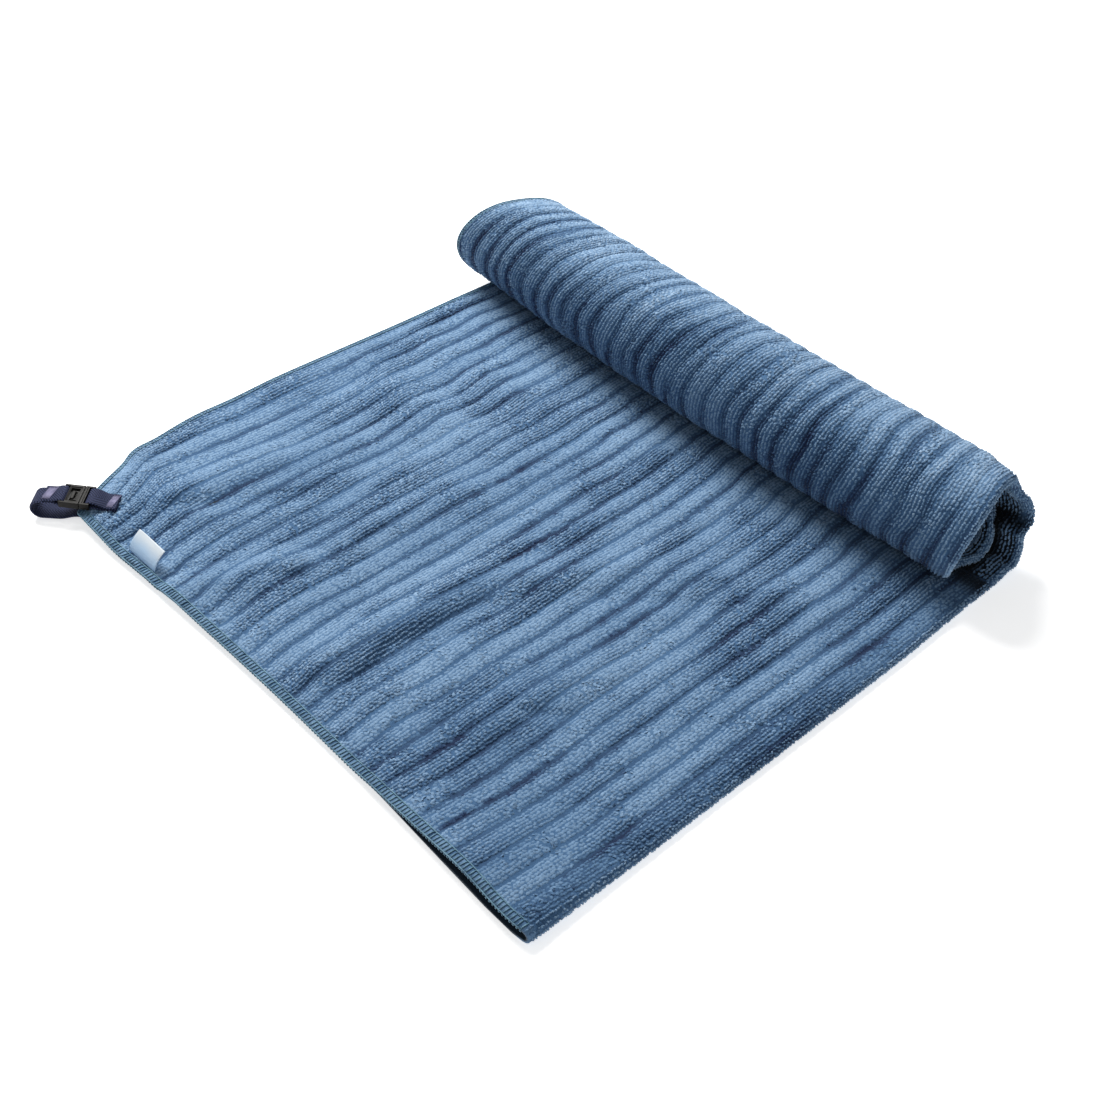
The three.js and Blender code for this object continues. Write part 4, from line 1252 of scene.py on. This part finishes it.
def webbing_material():
    """Narrow woven tape: lilac-grey twill lines over navy, with a raised edge."""
    nodes = Nodes("webbing_twill")
    across, along = nodes.parts(nodes.attribute("weave", "Vector"))
    lines = nodes.wave(nodes.plus(nodes.math("ABSOLUTE", across), along), 3.9, 0.34)
    height = nodes.plus(nodes.plus(lines, nodes.wave(across, 7.5, 0.1)), 0.42)
    worn = nodes.plus(height, nodes.times(nodes.noise(160, 2), 0.3))
    stops = [(0.1, "0f1428"), (0.55, "1c2441"), (0.95, "535a7c")]
    return nodes.finish({
        "Base Color": nodes.ramp(nodes.math("SUBTRACT", worn, 0.15), stops),
        "Roughness": 0.8,
        "Specular IOR Level": 0.2,
        "Normal": nodes.bump(height, 0.8, 0.0004),
    })


def thread_material(name, light, dark):
    """Sewing thread in two close shades."""
    nodes = Nodes(name)
    return nodes.finish({
        "Base Color": nodes.ramp(nodes.noise(260, 2), [(0.3, dark), (0.7, light)]),
        "Roughness": 0.6,
        "Normal": nodes.bump(nodes.noise(2500, 1), 0.4, 0.0003),
    })


def plastic_material():
    """Moulded brown-black plastic with a fine grain and scuffed, lighter patches."""
    nodes = Nodes("buckle_plastic")
    grain = nodes.noise(420, 3)
    rough = nodes.add("ShaderNodeMapRange", {"Value": grain, "To Min": 0.4, "To Max": 0.6})
    return nodes.finish({
        "Base Color": nodes.ramp(grain, [(0.35, "060505"), (0.75, "12100c")]),
        "Roughness": rough.outputs["Result"],
        "Specular IOR Level": 0.14,
        "Normal": nodes.bump(nodes.noise(3000, 2), 0.25, 0.0002),
    })


def label_material():
    """Smooth woven tape, bluer at its foot and nearly white at its top."""
    nodes = Nodes("label_weave")
    across, along = nodes.parts(nodes.attribute("weave", "Vector"))
    rise = nodes.math("DIVIDE", along, LABEL["height"])
    cloudy = nodes.plus(rise, nodes.times(nodes.noise(130, 1), 0.25))
    weave = nodes.plus(nodes.wave(across, 14.0, 0.5), nodes.wave(along, 16.0, 0.5))
    return nodes.finish({
        "Base Color": nodes.ramp(cloudy, [(0.05, "86abd2"), (0.55, "a6c0da"), (1.0, "c3ccd4")]),
        "Roughness": 0.55,
        "Normal": nodes.bump(weave, 0.25, 0.0002),
    })


def floor_material():
    """Matt white floor that glows a little, so that it stays pale."""
    nodes = Nodes("floor_paint")
    inputs = {"Value": nodes.noise(3, 2), "From Min": 0.3, "From Max": 0.7, "To Min": 0.86, "To Max": 0.89}
    return nodes.finish({
        "Base Color": nodes.add("ShaderNodeMapRange", inputs).outputs["Result"],
        "Roughness": 0.9,
        "Emission Color": (1.0, 1.0, 1.0, 1.0),
        "Emission Strength": 0.6,
    })


# Camera, lights and floor

CAMERA = {"place": (498.67, -433.73, 596.27), "azimuth": math.radians(47.9), "height": math.radians(43.2)}
FOCAL_SHARE = 1604 / 1120
SENSOR = 36
FLOOR = {"half": 4, "z": -0.0006}
WORLD = {"colour": (0.97, 0.985, 1.0, 1), "strength": 0.29}


def add_camera():
    """Camera at the photo's place and angle."""
    data = bpy.data.cameras.new("camera")
    data.sensor_width = SENSOR
    data.lens = SENSOR * FOCAL_SHARE
    azimuth, height = CAMERA["azimuth"], CAMERA["height"]
    right = Vector((math.cos(azimuth), math.sin(azimuth), 0))
    level = Vector((math.sin(azimuth), -math.cos(azimuth), 0))
    back = level * math.cos(height) + Vector((0, 0, math.sin(height)))
    turn = Matrix((right, back.cross(right), back)).transposed().to_4x4()
    camera = add_object("camera", data)
    camera.matrix_world = Matrix.Translation(Vector(CAMERA["place"]) * MM) @ turn
    bpy.context.scene.camera = camera


def add_area_light(name, place_at, size, power, colour):
    """Round soft light that points at the towel."""
    data = bpy.data.lights.new(name, "AREA")
    data.shape = "DISK"
    data.size = size
    data.energy = power
    data.color = colour
    light = add_object(name, data)
    light.location = place_at
    light.rotation_euler = Vector(place_at).to_track_quat("Z", "Y").to_euler()


def add_studio():
    """Pale floor, even light from all round, and two soft lights."""
    half = FLOOR["half"]
    mesh = bpy.data.meshes.new("floor")
    corners = [(-half, -half, 0), (half, -half, 0), (half, half, 0), (-half, half, 0)]
    mesh.from_pydata(corners, [], [(0, 1, 2, 3)])
    mesh.materials.append(floor_material())
    floor = add_object("floor", mesh)
    floor.location.z = FLOOR["z"]
    world = bpy.data.worlds.new("studio")
    world.use_nodes = True
    background = world.node_tree.nodes["Background"]
    background.inputs["Color"].default_value = WORLD["colour"]
    background.inputs["Strength"].default_value = WORLD["strength"]
    bpy.context.scene.world = world
    add_area_light("key", (-0.95, 0.3, 1.15), 1.0, 41, (1.0, 0.985, 0.96))
    add_area_light("fill", (0.9, -1.0, 1.3), 1.2, 3, (0.95, 0.98, 1.0))
    bpy.context.scene.view_settings.view_transform = "Standard"


def main():
    """Builds every piece, hides the model's parts that it replaces, attaches every piece to one body, and
    sets up the studio.
    """
    cloth_stops = [(0.0, "152340"), (0.45, "3d5d80"), (1.0, "7897b6")]
    pile_stops = [(0.0, "1e3152"), (0.35, "4c6b8c"), (0.7, "809cb9"), (1.0, "aabed2")]
    cloth_material = terry("terry_ground", cloth_stops, 0.6)
    pile_material = terry("terry_pile", pile_stops, 0.3)
    overlock_thread = thread_material("overlock_thread", "638a9e", "3b6078")
    webbing = webbing_material()
    bartack_thread = thread_material("bartack_thread", "807e9e", "4f4e72")
    plastic = plastic_material()

    cloth = towel_cloth(cloth_material)
    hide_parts("towel")
    loops = flat_pile(pile_material) + roll_pile(pile_material) + fold_pile(pile_material)
    loops += inside_pile(pile_material)
    loops.append(hem_threads(overlock_thread))

    hang_loop, loop_length = ribbon("webbing_loop", loop_line(), WEBBING, WEBBING_WIDTH, webbing, loop_space)
    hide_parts("strap_loop")
    tab, tab_length = ribbon("webbing_tab", tab_line(), WEBBING, WEBBING_WIDTH, webbing, loop_space)
    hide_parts("strap_tab")
    over_plies = PLY_PITCH + WEBBING / 2
    loop_tack = bartack("bartack_loop", 13.8, 18.6, LOOP["height"] + over_plies, bartack_thread)
    tab_tack = bartack("bartack_tab", -21, -17.2, TAB["height"] + over_plies, bartack_thread)
    buckle = buckle_frame(plastic)
    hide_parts("buckle_frame")
    tongue = buckle_tongue(plastic)
    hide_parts("buckle_tongue")
    label, label_height = label_flag(label_material())
    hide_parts("label")

    slots = {
        "terry": [cloth, *loops],
        "webbing": [hang_loop, tab, loop_tack, tab_tack],
        "buckle": [buckle, tongue],
        "label": [label],
    }
    for slot, pieces in slots.items():
        for piece in pieces:
            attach(piece, "root")
    add_studio()
    add_camera()


main()
